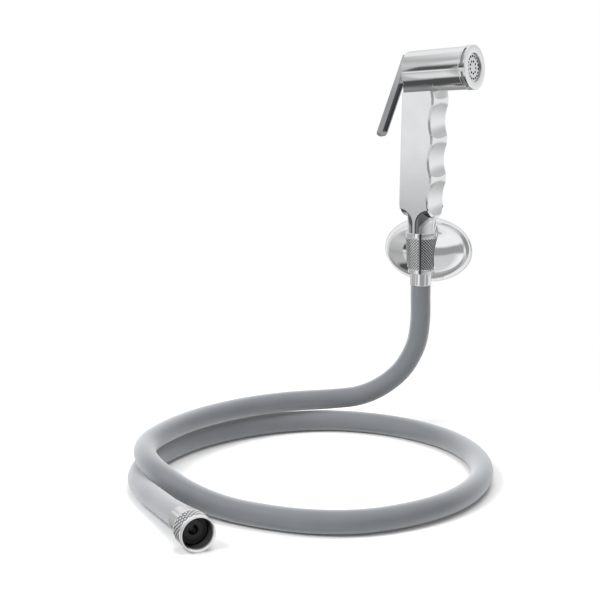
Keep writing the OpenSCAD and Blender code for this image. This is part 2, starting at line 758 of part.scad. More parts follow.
// The hose as one round tube through the route's points.
module hose() {
    count = len(route);
    last = count - 1;
    tangents = [for (i = [0:last]) unit(route[min(i + 1, last)] - route[max(i - 1, 0)])];
    side_seed = [0, -1, 0];
    function side_at(i) = i == 0 ? side_seed
        : let (s = side_at(i - 1), t = tangents[i]) unit(s - t * (s * t));
    sides = [for (i = [0:last]) side_at(i)];
    function ring_points(i) = let (s = sides[i], b = cross(tangents[i], s))
        [for (j = [0:hose_sides - 1]) let (a = 360 * j / hose_sides)
            route[i] + hose_d / 2 * (s * cos(a) + b * sin(a))];
    color(HOSE_GREY) polyhedron(
        points = [for (i = [0:last]) each ring_points(i)],
        faces = concat([[for (j = [0:hose_sides - 1]) j]],
                       [for (i = [0:last - 1], j = [0:hose_sides - 1])
                        let (k = (j + 1) % hose_sides, p = i * hose_sides, q = p + hose_sides)
                        [p + j, q + j, q + k]],
                       [for (i = [0:last - 1], j = [0:hose_sides - 1])
                        let (k = (j + 1) % hose_sides, p = i * hose_sides, q = p + hose_sides)
                        [p + j, q + k, p + k]],
                       [[for (j = [hose_sides - 1:-1:0]) last * hose_sides + j]]));
}

module lower_ferrule() {
    at_hose_end() ferrule(lower_shank_d);
}

// Levels along the hose's lower end, measured from the hose's end face
tap_nut_back = 1.5;
tap_lip = 1.8;
spin_gap = 0.3;
lower_shank_l = tap_nut_back + tap_lip + spin_gap;
lower_flange_h = 2.2;
lower_face = lower_shank_l + lower_flange_h;

module lower_hose_tail() {
    color(BRASS) at_hose_end() translate([0, 0, lower_face])
        hose_tail(tap_thread_d - 1, lower_flange_h, lower_shank_d, lower_shank_l);
}

module tap_nut() {
    r = tap_nut_d / 2;
    back = tap_nut_back;
    front = back + tap_nut_l;
    smooth = 2.6;
    mouth = 1;
    relief_d = tap_thread_d + 0.8;
    color(CHROME) at_hose_end() difference() {
        union() {
            translate([0, 0, back]) cylinder(r1 = r - 1.2, r2 = r - 0.4, h = 1.2);
            translate([0, 0, back + 1.2]) knurled(r, r, tap_nut_l - smooth - 1.2);
            rod(r - 0.2, front - smooth, front);
        }
        rod(lower_shank_d / 2 + running_play, back - OVER, back + tap_lip + OVER);
        rod(relief_d / 2, back + tap_lip, lower_face + washer_h + 0.1);
        rod(tap_thread_d / 2, back + tap_lip + FIT, front + OVER);
        translate([0, 0, front - mouth])
            cylinder(r1 = tap_thread_d / 2, r2 = tap_thread_d / 2 + mouth + 0.01, h = mouth + 0.01);
    }
}

module tap_nut_washer() {
    color(RUBBER) at_hose_end()
        ring(tail_bore_d / 2 + 0.3, tap_thread_d / 2 - 0.4, lower_face, lower_face + washer_h);
}

holder_base();
holder_hook();
holder_grub_screw();
handset_body();
lever();
lever_pin();
hinge_carrier();
carrier_gasket();
stem_o_ring();
stem_gland();
valve_stem();
valve_disc();
valve_seat();
spring_cage();
valve_spring();
spray_insert();
cap_gasket();
nozzle_plate();
spray_cap();
cone_nut();
cone_nut_washer();
upper_hose_tail();
upper_ferrule();
hose();
lower_ferrule();
lower_hose_tail();
tap_nut();
tap_nut_washer();
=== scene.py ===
"""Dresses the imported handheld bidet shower: its hose, handset, wall holder and fittings.

Every length in the classes is in millimetres on the part's own axes, and a placement matrix
carries it into the frame in metres. Surfaces are grids of two parameters worked out with numpy.
"""
from __future__ import annotations

import logging
from dataclasses import dataclass
from enum import Enum
from typing import Sequence

import bmesh
import bpy
import numpy as np
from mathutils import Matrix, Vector


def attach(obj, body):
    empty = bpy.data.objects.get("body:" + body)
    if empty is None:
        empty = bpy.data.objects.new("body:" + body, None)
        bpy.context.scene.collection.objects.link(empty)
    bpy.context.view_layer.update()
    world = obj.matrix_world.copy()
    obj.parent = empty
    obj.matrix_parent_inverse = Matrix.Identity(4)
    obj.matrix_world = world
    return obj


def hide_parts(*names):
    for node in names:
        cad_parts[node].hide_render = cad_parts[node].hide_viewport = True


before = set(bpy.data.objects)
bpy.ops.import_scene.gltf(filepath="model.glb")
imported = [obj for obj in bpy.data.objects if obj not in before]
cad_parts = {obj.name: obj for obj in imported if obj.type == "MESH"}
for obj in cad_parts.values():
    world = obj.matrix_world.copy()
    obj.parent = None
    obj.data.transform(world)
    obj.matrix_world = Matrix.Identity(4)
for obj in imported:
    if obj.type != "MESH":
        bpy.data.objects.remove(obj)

log = logging.getLogger("bidet_shower")

Node = bpy.types.Node
Object = bpy.types.Object
Socket = bpy.types.NodeSocket
Triple = tuple[float, float, float]
Stops = Sequence[tuple[float, float]]

MM = 0.001
MAIN, LEVER, TAP_NUT = "main_body", "lever_body", "tap_nut_body"
FLOOR_Z = -0.1347  # metres
MERGE, CAD_MERGE = 1e-6, 2e-6  # metres
CAD_FLAT, SHARP = 0.4, 32.0  # degrees


class Slot(Enum):
    """The record's material slots for the new pieces."""

    CHROME = "chrome"
    RUBBER = "rubber"
    HOSE = "hose"


def shift(x: float, y: float, z: float) -> np.ndarray:
    """A 4x4 matrix that moves by (x, y, z) millimetres."""
    m = np.eye(4)
    m[:3, 3] = (x, y, z)
    return m


def turn(axis: int, degrees: float) -> np.ndarray:
    """A 4x4 turn about axis 0, 1 or 2 (X, Y or Z) by the right-hand rule."""
    c, s = np.cos(np.radians(degrees)), np.sin(np.radians(degrees))
    j, k = (axis + 1) % 3, (axis + 2) % 3
    m = np.eye(4)
    m[j, j], m[j, k], m[k, j], m[k, k] = c, -s, s, c
    return m


ON_HANDSET = shift(0, -21, 0) @ turn(2, -13)
ON_BARREL = ON_HANDSET @ shift(0, 0, 134.7) @ turn(1, -5)
ALONG_BARREL = ON_BARREL @ turn(1, 90)
ON_HANDLE = ON_HANDSET @ shift(0, 0, 34) @ turn(1, 1) @ shift(0, 0, -34)
ON_NUT = shift(0, -21, 0)
ON_LEVER = (ON_BARREL @ shift(-7.5, 0, 7) @ turn(0, 90) @ turn(2, 270 - 25.7)
            @ np.diag([1, -1, 1, 1]))
AT_HOSE_END = shift(-56, -313, -123.4) @ turn(2, -45) @ turn(1, 90)
ON_WALL = turn(0, 90)


@dataclass
class Shell:
    """Points in millimetres, the faces that join them, and each point's mask for painted shade."""

    points: np.ndarray
    faces: list[list[int]]
    depth: np.ndarray | None = None

    def placed(self, matrix: np.ndarray) -> Shell:
        """The same shell carried by a placement matrix."""
        return Shell(self.points @ matrix[:3, :3].T + matrix[:3, 3], self.faces, self.depth)


def grid_shell(grid: np.ndarray, wrap_u: bool, wrap_v: bool, cap_u: bool = False) -> Shell:
    """Joins a grid of points with four-sided faces.

    Args:
        grid: points of shape (u, v, 3).
        wrap_u: the last row meets the first.
        wrap_v: the last column meets the first.
        cap_u: the first and last rows are closed with one flat face each.

    Returns:
        The shell.
    """
    nu, nv = grid.shape[:2]
    u = np.arange(nu if wrap_u else nu - 1)
    v = np.arange(nv if wrap_v else nv - 1)
    a, b = np.meshgrid(u, v, indexing="ij")
    c, d = (a + 1) % nu, (b + 1) % nv
    quads = np.stack([a * nv + b, c * nv + b, c * nv + d, a * nv + d], -1).reshape(-1, 4)
    faces = quads.tolist()
    if cap_u:
        faces += [list(range(nv)), list(range(nu * nv - 1, (nu - 1) * nv - 1, -1))]
    return Shell(grid.reshape(-1, 3), faces)


def rounded(corners: Sequence[tuple[float, float]], radius: float, steps: int = 4,
            closed: bool = True) -> np.ndarray:
    """A flat outline with each corner replaced by a short curve.

    Each corner p becomes the curve (1-t)^2 a + 2t(1-t) p + t^2 b, where a and b lie on its two
    edges at the given distance, or at 0.45 of a shorter edge.

    Args:
        corners: the outline's corners.
        radius: the distance from a corner to its curve's ends.
        steps: the number of steps along each curve.
        closed: the last corner meets the first. An open outline keeps its two ends.

    Returns:
        The outline's points, of shape (n, 2).
    """
    p = np.asarray(corners, float)
    before, after = np.roll(p, 1, 0) - p, np.roll(p, -1, 0) - p
    lb, la = np.linalg.norm(before, axis=1), np.linalg.norm(after, axis=1)
    a = p + before * (np.minimum(radius, 0.45 * lb) / lb)[:, None]
    b = p + after * (np.minimum(radius, 0.45 * la) / la)[:, None]
    t = np.linspace(0, 1, steps + 1)[None, :, None]
    curve = (1 - t) ** 2 * a[:, None] + 2 * t * (1 - t) * p[:, None] + t ** 2 * b[:, None]
    if closed:
        return curve.reshape(-1, 2)
    return np.concatenate([p[:1], curve[1:-1].reshape(-1, 2), p[-1:]])


def all_round(sides: int) -> np.ndarray:
    """Even angles round a full turn."""
    return np.linspace(0, 2 * np.pi, sides, endpoint=False)


def turned(angle: np.ndarray, r: np.ndarray, z: np.ndarray) -> np.ndarray:
    """The points (r cos a, r sin a, z), with a row for each angle a."""
    a = angle[:, None]
    r, z = np.broadcast_arrays(r, z, a)[:2]
    return np.stack([r * np.cos(a), r * np.sin(a), z], -1)


def revolve(profile: np.ndarray, sides: int = 128, closed: bool = True) -> Shell:
    """Turns a profile of (radius, height) round Z. An open one starts and ends on the axis."""
    return grid_shell(turned(all_round(sides), profile[:, 0], profile[:, 1]), True, closed)


def prism(outline: np.ndarray, low: float, high: float, edge: float = 0.25) -> Shell:
    """An upright prism with softened rims.

    The outline is carried up Z in ten rings. The end rings are drawn in by the edge's size
    along the outline's own normals, and the ones between follow a quarter circle. A further
    ring just inside each end keeps the end face flat.

    Args:
        outline: a closed outline, counter-clockwise, of shape (n, 2).
        low: the height of the lower face.
        high: the height of the upper face.
        edge: the radius of the rims.

    Returns:
        The shell, with a painted-shade mask of 1 on its walls.
    """
    way = np.roll(outline, -1, 0) - np.roll(outline, 1, 0)
    way /= np.maximum(np.linalg.norm(way, axis=1, keepdims=True), 1e-9)
    out = np.stack([way[:, 1], -way[:, 0]], -1)
    q = np.radians([90, 60, 30, 0])
    pull, lift = edge * (1 - np.cos(q)), edge * (1 - np.sin(q))
    inset = np.concatenate([[edge + 0.1], pull, pull[::-1], [edge + 0.1]])
    level = np.concatenate([[low], low + lift, high - lift[::-1], [high]])
    rings = outline[None] - out[None] * inset[:, None, None]
    heights = np.broadcast_to(level[:, None, None], rings.shape[:2] + (1,))
    shell = grid_shell(np.concatenate([rings, heights], -1), False, True, cap_u=True)
    wall = np.array([0.0, 0.0, 0.6, 1.0, 1.0, 1.0, 1.0, 0.6, 0.0, 0.0])
    shell.depth = np.repeat(wall, len(outline))
    return shell


def add_object(name: str, data: bpy.types.ID) -> Object:
    """Puts a new object into the scene, at the origin."""
    obj = bpy.data.objects.new(name, data)
    bpy.context.scene.collection.objects.link(obj)
    return obj


def shade(mesh: bpy.types.Mesh, sharp: float) -> None:
    """Shades a mesh smooth, but for edges that turn by more than an angle in degrees."""
    mesh.shade_smooth()
    mesh.set_sharp_from_angle(angle=np.radians(sharp))


def build(name: str, shell: Shell, sharp: float = SHARP) -> Object:
    """Puts a shell into the scene as a piece, with its doubles merged and outward normals.

    Args:
        name: the piece's name.
        shell: its points in millimetres, already in place.
        sharp: edges that turn by more than this many degrees stay sharp.

    Returns:
        The object, at the origin.
    """
    mesh = bpy.data.meshes.new(name)
    mesh.from_pydata((shell.points * MM).tolist(), [], shell.faces)
    # The shell's depth goes on as a point attribute, the mask for painted shade.
    if shell.depth is not None:
        layer = mesh.attributes.new("painted_shade_mask", "FLOAT", "POINT")
        layer.data.foreach_set("value", shell.depth.astype(np.float32))
    bm = bmesh.new()
    bm.from_mesh(mesh)
    bmesh.ops.remove_doubles(bm, verts=bm.verts, dist=MERGE)
    bmesh.ops.dissolve_degenerate(bm, edges=bm.edges, dist=MERGE * 0.5)
    bmesh.ops.recalc_face_normals(bm, faces=bm.faces)
    bm.to_mesh(mesh)
    bm.free()
    mesh.update()
    shade(mesh, sharp)
    return add_object(name, mesh)


def soften(obj: Object, width: float) -> None:
    """Rounds a piece's sharp edges with a Bevel modifier, width in millimetres."""
    mod = obj.modifiers.new("edges", "BEVEL")
    mod.width = width * MM
    mod.segments = 2
    mod.limit_method = "ANGLE"
    mod.angle_limit = np.radians(30)
    mod.harden_normals = True
    mod.use_clamp_overlap = True


def merged_copy(node: str, name: str) -> Object:
    """A copy of a CAD node's mesh, merged, with its flat faces joined, to stand for that node."""
    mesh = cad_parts[node].data.copy()
    mesh.name = name
    mesh.materials.clear()
    bm = bmesh.new()
    bm.from_mesh(mesh)
    bmesh.ops.remove_doubles(bm, verts=bm.verts, dist=CAD_MERGE)
    bmesh.ops.dissolve_limit(bm, angle_limit=np.radians(CAD_FLAT), verts=bm.verts, edges=bm.edges)
    bm.to_mesh(mesh)
    bm.free()
    shade(mesh, SHARP)
    return add_object(name, mesh)


def cut(obj: Object, sharp: float, *cutters: Shell) -> None:
    """Takes closed cutters out of a piece, one after another, drops them, and shades it."""
    for i, shell in enumerate(cutters):
        tool = build(f"{obj.name}_cutter_{i}", shell)
        mod = obj.modifiers.new("cut", "BOOLEAN")
        mod.object = tool
        mod.operation = "DIFFERENCE"
        mod.solver = "EXACT"
        bpy.context.view_layer.update()
        made = bpy.data.meshes.new_from_object(
            obj.evaluated_get(bpy.context.evaluated_depsgraph_get()))
        obj.modifiers.clear()
        old, obj.data = obj.data, made
        made.name = obj.name
        bpy.data.meshes.remove(old)
        bpy.data.objects.remove(tool)
    shade(obj.data, sharp)


class Nodes:
    """Short calls for making and joining nodes in one tree."""

    def __init__(self, tree: bpy.types.NodeTree) -> None:
        """Keeps the tree that the nodes go into."""
        self.tree = tree

    def put(self, socket: Socket, value: object) -> None:
        """Gives an input a plain value, or joins another socket to it."""
        if isinstance(value, Socket):
            self.tree.links.new(value, socket)
        else:
            socket.default_value = value

    def add(self, kind: str, props: dict | None = None, **values: object) -> Node:
        """Makes a node.

        Args:
            kind: the node's type without its ShaderNode prefix.
            props: attributes to set on the node.
            values: input name with underscores for spaces, or i and a number, to what goes in.

        Returns:
            The node.
        """
        node = self.tree.nodes.new(f"ShaderNode{kind}")
        for key, value in (props or {}).items():
            setattr(node, key, value)
        for key, value in values.items():
            numbered = key[0] == "i" and key[1:].isdigit()
            self.put(node.inputs[int(key[1:]) if numbered else key.replace("_", " ")], value)
        return node

    def math(self, operation: str, a: object, b: object = 0.0) -> Socket:
        """The result of a Math node."""
        return self.add("Math", {"operation": operation}, i0=a, i1=b).outputs[0]

    def mix(self, factor: object, a: object, b: object) -> Socket:
        """A colour between two colours."""
        return self.add("Mix", {"data_type": "RGBA"}, i0=factor, i6=a, i7=b).outputs[2]

    def noise(self, place: Socket, scale: object, detail: float, rough: float = 0.5,
              dimensions: str = "3D") -> Socket:
        """The value of a noise texture."""
        return self.add("TexNoise", {"noise_dimensions": dimensions}, Vector=place, Scale=scale,
                        Detail=detail, Roughness=rough).outputs[0]

    def spread(self, value: object, low: float, high: float, to_low: float = 0.0,
               to_high: float = 1.0, kind: str = "LINEAR") -> Socket:
        """A value carried from one range to another, and held inside it."""
        return self.add("MapRange", {"interpolation_type": kind}, Value=value, From_Min=low,
                        From_Max=high, To_Min=to_low, To_Max=to_high).outputs[0]

    def ramp(self, angle: Socket, stops: Stops) -> Socket:
        """A grey read from stops of (height angle in degrees, tone)."""
        node = self.add("ValToRGB", Fac=self.spread(angle, -90, 90))
        elements = node.color_ramp.elements
        for element, (at, tone) in zip(elements, (stops[0], stops[-1])):
            element.position, element.color = (at + 90) / 180, (tone, tone, tone, 1)
        for at, tone in stops[1:-1]:
            elements.new((at + 90) / 180).color = (tone, tone, tone, 1)
        return node.outputs[0]


def new_group(name: str, inputs: dict[str, float],
              outputs: Sequence[str]) -> tuple[Nodes, Node, Node]:
    """An empty shader node group with number sockets.

    Args:
        name: the group's name.
        inputs: each input's name and default.
        outputs: the outputs' names.

    Returns:
        Its node maker, its input node and its output node.
    """
    tree = bpy.data.node_groups.new(name, "ShaderNodeTree")
    for label, value in inputs.items():
        socket = tree.interface.new_socket(label, in_out="INPUT", socket_type="NodeSocketFloat")
        socket.default_value = value
    for label in outputs:
        tree.interface.new_socket(label, in_out="OUTPUT", socket_type="NodeSocketFloat")
    return Nodes(tree), tree.nodes.new("NodeGroupInput"), tree.nodes.new("NodeGroupOutput")


def handling_group() -> bpy.types.NodeTree:
    """The group for handling marks: soft smudges and fine wiping scratches.

    Smudges are a broad noise, and scratches a noise stretched about thirty to one. It puts out
    Smudge and Scratch, both from 0 to 1, and Height for a bump.
    """
    n, given, out = new_group("handling_marks", {"Smudge Scale": 60.0},
                              ("Smudge", "Scratch", "Height"))
    place = n.add("TexCoord").outputs["Object"]
    smudge = n.spread(n.noise(place, given.outputs[0], 4.0, 0.55), 0.38, 0.68)
    drawn = n.add("Mapping", Vector=place, Rotation=(0.5, 0.25, 0.9), Scale=(1.0, 1.0, 0.03))
    scratch = n.spread(n.noise(drawn.outputs[0], 900.0, 2.0), 0.62, 0.78)
    height = n.math("SUBTRACT", n.math("MULTIPLY", smudge, 0.3), scratch)
    for label, value in (("Smudge", smudge), ("Scratch", scratch), ("Height", height)):
        n.put(out.inputs[label], value)
    return n.tree


def peel_group() -> bpy.types.NodeTree:
    """The group for a surface's slow waves with a small share of fine grain, as one Height."""
    n, given, out = new_group("waves_and_grain", {"Wave Scale": 120.0, "Grain Share": 0.15},
                              ("Height",))
    place = n.add("TexCoord").outputs["Object"]
    wave = n.noise(place, given.outputs[0], 1.0)
    grain = n.noise(place, 2400.0, 3.0)
    n.put(out.inputs["Height"], n.math("ADD", wave, n.math("MULTIPLY", grain, given.outputs[1])))
    return n.tree


class Surface:
    """What every finish shares: a shader that takes its colour, roughness and normal."""

    name: str
    metallic: float

    def layers(self, n: Nodes, kit: FinishKit) -> tuple[Socket, Socket, Socket]:
        """The colour, the roughness and the normal, which each kind of finish works out."""
        raise NotImplementedError

    def make(self, kit: FinishKit) -> bpy.types.Material:
        """Builds the material, with the groups that finishes share."""
        mat = bpy.data.materials.new(self.name)
        mat.use_nodes = True
        n = Nodes(mat.node_tree)
        inputs = n.tree.nodes["Principled BSDF"].inputs
        for label, value in zip(("Base Color", "Roughness", "Normal"), self.layers(n, kit)):
            n.put(inputs[label], value)
        n.put(inputs["Metallic"], self.metallic)
        return mat


@dataclass(frozen=True)
class Finish(Surface):
    """A metal, plastic or rubber finish.

    Attributes:
        name: the material's name.
        colour: its colour.
        worn_colour: the colour that its smudges lean to.
        rough_low: roughness where it is clean.
        rough_high: roughness where it is smudged.
        wave_depth: height of its slow waves in millimetres.
        scratch_depth: height of its wiping scratches in millimetres.
        grain_share: how much fine grain rides on the waves.
        metallic: 1 for a metal.
    """

    name: str
    colour: Triple
    worn_colour: Triple
    rough_low: float
    rough_high: float
    wave_depth: float = 0.004
    scratch_depth: float = 0.002
    grain_share: float = 0.15
    metallic: float = 1.0

    def layers(self, n: Nodes, kit: FinishKit) -> tuple[Socket, Socket, Socket]:
        """Smudged colour, smudged and scratched roughness, and waves under the scratches."""
        marks = n.add("Group", {"node_tree": kit.handling}).outputs
        peel = n.add("Group", {"node_tree": kit.peel}, Grain_Share=self.grain_share)
        base = n.mix(marks["Smudge"], (*self.colour, 1.0), (*self.worn_colour, 1.0))
        rough = n.spread(marks["Smudge"], 0.0, 1.0, self.rough_low, self.rough_high)
        rough = n.math("ADD", rough, n.math("MULTIPLY", marks["Scratch"], 0.03))
        waves = n.add("Bump", Height=peel.outputs[0], Distance=self.wave_depth * MM)
        lines = n.add("Bump", Height=marks["Height"], Normal=waves.outputs[0],
                      Distance=self.scratch_depth * MM)
        return base, rough, lines.outputs[0]


@dataclass(frozen=True)
class HoseFinish(Surface):
    """The hose's grey plastic: faint draw lines, a slight change of tone, and a pale painted sheen.

    Attributes:
        name: the material's name.
        colour: the plastic's colour.
        pale: the colour of its paler clouds.
        painted_sheen: the colour of the sheen painted where its skin turns away from the eye.
        lines: the number of draw lines round the hose.
        metallic: 0 for plastic.
    """

    name: str = "hose_grey_plastic"
    colour: Triple = (0.172, 0.184, 0.200)
    pale: Triple = (0.198, 0.210, 0.226)
    painted_sheen: Triple = (0.64, 0.655, 0.67)
    lines: float = 26.0
    metallic: float = 0.0

    def layers(self, n: Nodes, kit: FinishKit) -> tuple[Socket, Socket, Socket]:
        """Works on the hose's own map: turns round it, and metres along it."""
        own = n.add("UVMap", {"uv_map": "along"}).outputs[0]
        drawn = n.add("Mapping", Vector=own, Scale=(self.lines, 6.0, 1.0)).outputs[0]
        draw = n.noise(drawn, 1.0, 2.0, dimensions="2D")
        smudge = n.add("Group", {"node_tree": kit.handling}, Smudge_Scale=35.0).outputs["Smudge"]
        peel = n.add("Group", {"node_tree": kit.peel}, Wave_Scale=90.0, Grain_Share=0.2)
        tone = n.math("ADD", n.math("MULTIPLY", smudge, 0.6), n.math("MULTIPLY", draw, 0.4))
        base = n.mix(tone, (*self.colour, 1.0), (*self.pale, 1.0))
        # Painted sheen: the colour pales where the skin turns away from the eye, in place of a
        # reflection.
        away = n.spread(n.add("LayerWeight", Blend=0.5).outputs["Facing"], 0.28, 1.0)
        base = n.mix(n.math("POWER", away, 1.5), base, (*self.painted_sheen, 1.0))
        rough = n.spread(smudge, 0.0, 1.0, 0.36, 0.46)
        height = n.math("ADD", n.math("MULTIPLY", draw, 0.5), peel.outputs[0])
        return base, rough, n.add("Bump", Height=height, Distance=0.03 * MM).outputs[0]


@dataclass(frozen=True)
class PaintedShadeFinish(Surface):
    """Chrome with painted shade in its cuts and recesses, read from the mesh's own mask attribute.

    Attributes:
        name: the material's name.
        peak: the colour outside the painted shade.
        cut: the colour of the painted shade at the cuts' floor.
        rough_peak: roughness outside them.
        rough_cut: roughness at their floor.
        metallic: 1 for a metal.
    """

    name: str
    peak: Triple
    cut: Triple
    rough_peak: float = 0.10
    rough_cut: float = 0.3
    metallic: float = 1.0

    def layers(self, n: Nodes, kit: FinishKit) -> tuple[Socket, Socket, Socket]:
        """Mixes both colours and both roughnesses by the painted-shade mask."""
        depth = n.add("Attribute", {"attribute_name": "painted_shade_mask"}).outputs["Fac"]
        marks = n.add("Group", {"node_tree": kit.handling}, Smudge_Scale=80.0).outputs
        base = n.mix(n.spread(depth, 0.1, 0.9), (*self.peak, 1.0), (*self.cut, 1.0))
        rough = n.math("ADD", n.spread(depth, 0.0, 1.0, self.rough_peak, self.rough_cut),
                       n.math("MULTIPLY", marks["Smudge"], 0.04))
        return base, rough, n.add("Bump", Height=marks["Height"], Distance=0.003 * MM).outputs[0]


BRIGHT = (0.88, 0.885, 0.895)
CHROME = Finish("chrome_polished", BRIGHT, (0.85, 0.855, 0.865), 0.05, 0.09, 0.0016, 0.0008)
# Painted shade: near-black chrome for the lever's groove.
CHROME_SHADE = Finish("chrome_in_shade", (0.075, 0.077, 0.082), (0.06, 0.062, 0.066), 0.25, 0.35)
# Painted shade: a half-dark chrome for the saddle under the barrel.
CHROME_PAINTED_HALF_SHADE = Finish("chrome_half_shade", (0.36, 0.365, 0.375), (0.32, 0.325, 0.335), 0.15, 0.22)
# Painted shade: the lever's chrome is darker than the rest.
CHROME_LEVER = Finish("chrome_lever", (0.52, 0.53, 0.55), (0.48, 0.49, 0.51), 0.10, 0.16,
                      0.0012, 0.0008)
CHROME_BRUSHED = Finish("chrome_satin", (0.80, 0.81, 0.82), (0.76, 0.77, 0.785), 0.14, 0.20,
                        0.001, 0.0012)
STEEL = Finish("steel_satin", (0.62, 0.63, 0.64), (0.56, 0.57, 0.58), 0.22, 0.32, 0.002)
BRASS = Finish("brass_turned", (0.72, 0.56, 0.27), (0.62, 0.46, 0.20), 0.20, 0.34, 0.002)
# Painted shade: brass darkened almost to black for the lower hose tail inside the tapping nut.
BRASS_PAINTED_SHADE = Finish("brass_painted_shade", (0.055, 0.048, 0.036), (0.04, 0.035, 0.028), 0.35, 0.5,
                    0.002)
PLASTIC = Finish("plastic_white", (0.78, 0.78, 0.76), (0.72, 0.72, 0.70), 0.38, 0.5, 0.006,
                 metallic=0.0)
PLASTIC_DARK = Finish("plastic_charcoal", (0.035, 0.036, 0.038), (0.05, 0.05, 0.052), 0.42, 0.55,
                      0.006, metallic=0.0)
RUBBER = Finish("rubber_black", (0.022, 0.023, 0.025), (0.04, 0.04, 0.042), 0.5, 0.68, 0.01,
                grain_share=0.6, metallic=0.0)
# Painted shade: the knurl finishes darken their cuts almost to black, and the tap nut's bore too;
# the tap nut's peaks are a little brighter than the other chrome.
KNURL = PaintedShadeFinish("chrome_knurl", BRIGHT, (0.035, 0.036, 0.04))
KNURL_DEEP = PaintedShadeFinish("chrome_knurl_deep", (0.95, 0.955, 0.965), (0.012, 0.012, 0.014))
# Painted shade: chrome darkened on the spine's cove walls and on the neck beside it.
CHROME_PAINTED_RECESS_SHADE = PaintedShadeFinish("chrome_with_painted_recess_shade", (0.83, 0.84, 0.855), (0.10, 0.103, 0.11),
                          0.06, 0.22)
# Painted shade: the cap's slots and the wall of its window are grey chrome.
CAP_PAINTED_SLOT_SHADE = PaintedShadeFinish("chrome_with_painted_slot_shade", BRIGHT, (0.50, 0.505, 0.515), 0.06)


class FinishKit:
    """The shared groups, and each finish's material, built once."""

    def __init__(self) -> None:
        """Builds the groups."""
        self.handling = handling_group()
        self.peel = peel_group()
        self.made: dict[str, bpy.types.Material] = {}

    def get(self, finish: Surface) -> bpy.types.Material:
        """The material of a finish."""
        if finish.name not in self.made:
            self.made[finish.name] = finish.make(self)
        return self.made[finish.name]

    def dress(self, obj: Object, finish: Surface) -> None:
        """Gives an object one finish all over."""
        obj.data.materials.clear()
        obj.data.materials.append(self.get(finish))


@dataclass
class SubAssembly:
    """What every sub-assembly can do: finish a piece and tie it to the frame."""

    kit: FinishKit

    def finish_piece(self, obj: Object, finish: Surface, *replaced: str, body: str = MAIN,
                     slot: Slot = Slot.CHROME, mirrored: bool = True) -> None:
        """Dresses a piece, ties it to its body, and lets it stand for CAD nodes.

        Args:
            obj: the piece.
            finish: its finish.
            replaced: the CAD nodes that it stands for.
            body: the body that it rides on.
            slot: the record's material slot; not used.
            mirrored: whether mirrors show it.
        """
        self.kit.dress(obj, finish)
        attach(obj, body)
        if replaced:
            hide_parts(*replaced)
        obj.visible_glossy = mirrored
        log.info("piece %s: %d faces, on %s", obj.name, len(obj.data.polygons), body)


HOSE_ROUTE = (
    (0, -21, -9), (0, -21, -30), (0, -21, -52), (-3, -22, -71), (-12, -26, -89),
    (-26, -31, -102), (-42, -38, -109.5), (-61, -47, -111.8), (-87, -65, -111.8),
    (-109, -88, -111.8), (-126, -117, -111.8), (-136, -147, -111.8), (-140, -177, -111.8),
    (-138, -205, -111.8), (-127, -229, -112.4), (-108, -248, -115.4), (-83, -260, -121.5),
    (-55, -267, -126), (-26, -271, -127), (5, -270, -127), (34, -259, -127), (58, -236, -127),
    (75, -206, -127), (82, -172, -127), (79, -137, -127), (65, -103, -127), (40, -74, -127),
    (8, -56, -127), (-27, -49, -127), (-62, -54, -127), (-94, -73, -127), (-118, -101, -127),
    (-134, -135, -127), (-141, -169, -127), (-141, -201, -127), (-131, -232, -127),
    (-113, -256, -126.6), (-93, -276, -125.6), (-74, -295, -124), (-56, -313, -123.4))


@dataclass
class Hose(SubAssembly):
    """The grey hose, from the upper ferrule down on to the floor, round, and out to the nut.

    Attributes:
        diameter: its outside diameter.
        per_span: the rings between two points of the route.
        sides: the points round each ring.
    """

    diameter: float = 15.0
    per_span: int = 9
    sides: int = 48

    def centre_line(self) -> np.ndarray:
        """A Catmull-Rom curve through the route.

        Between p1 and p2 it is half of 2p1 + (p2-p0)t + (2p0-5p1+4p2-p3)t^2 + (3p1-p0-3p2+p3)t^3.
        """
        p = np.asarray(HOSE_ROUTE, float)
        ext = np.concatenate([p[:1], p, p[-1:]])
        t = (np.arange(self.per_span) / self.per_span)[None, :, None]
        p0, p1, p2, p3 = (ext[i:len(ext) - 3 + i][:, None] for i in range(4))
        line = 0.5 * (2 * p1 + (p2 - p0) * t + (2 * p0 - 5 * p1 + 4 * p2 - p3) * t ** 2
                      + (3 * p1 - p0 - 3 * p2 + p3) * t ** 3)
        return np.concatenate([line.reshape(-1, 3), p[-1:]])

    def build(self) -> None:
        """Sweeps a circle along the centre line on a frame that never twists."""
        line = self.centre_line()
        way = np.gradient(line, axis=0)
        way /= np.linalg.norm(way, axis=1, keepdims=True)
        side = np.zeros_like(way)
        side[0] = (0, -1, 0)
        for i in range(1, len(way)):
            s = side[i - 1] - way[i] * np.dot(side[i - 1], way[i])
            side[i] = s / np.linalg.norm(s)
        over = np.cross(way, side)
        a = all_round(self.sides)[None, :, None]
        r = self.diameter / 2
        grid = line[:, None] + r * (side[:, None] * np.cos(a) + over[:, None] * np.sin(a))
        run = np.concatenate([[0], np.cumsum(np.linalg.norm(np.diff(line, axis=0), axis=1))]) * MM
        obj = build("grey_hose", grid_shell(grid, False, True, cap_u=True), sharp=50)
        self.map_along(obj.data, run)
        self.finish_piece(obj, HoseFinish(), "hose", slot=Slot.HOSE, mirrored=False)

    def map_along(self, mesh: bpy.types.Mesh, run: np.ndarray) -> None:
        """Gives the hose a map of its own: turns round it, and its run in metres along it."""
        index = np.zeros(len(mesh.loops), int)
        mesh.loops.foreach_get("vertex_index", index)
        v = run[np.clip(index // self.sides, 0, len(run) - 1)]
        u = (index % self.sides) / self.sides
        totals = np.zeros(len(mesh.polygons), int)
        mesh.polygons.foreach_get("loop_total", totals)
        face = np.repeat(np.arange(len(totals)), totals)
        high = np.zeros(len(totals))
        np.maximum.at(high, face, u)
        seam = (high[face] > 0.9) & (u < 0.1)
        layer = mesh.uv_layers.new(name="along")
        layer.data.foreach_set("uv", np.stack([np.where(seam, u + 1, u), v], -1).ravel())


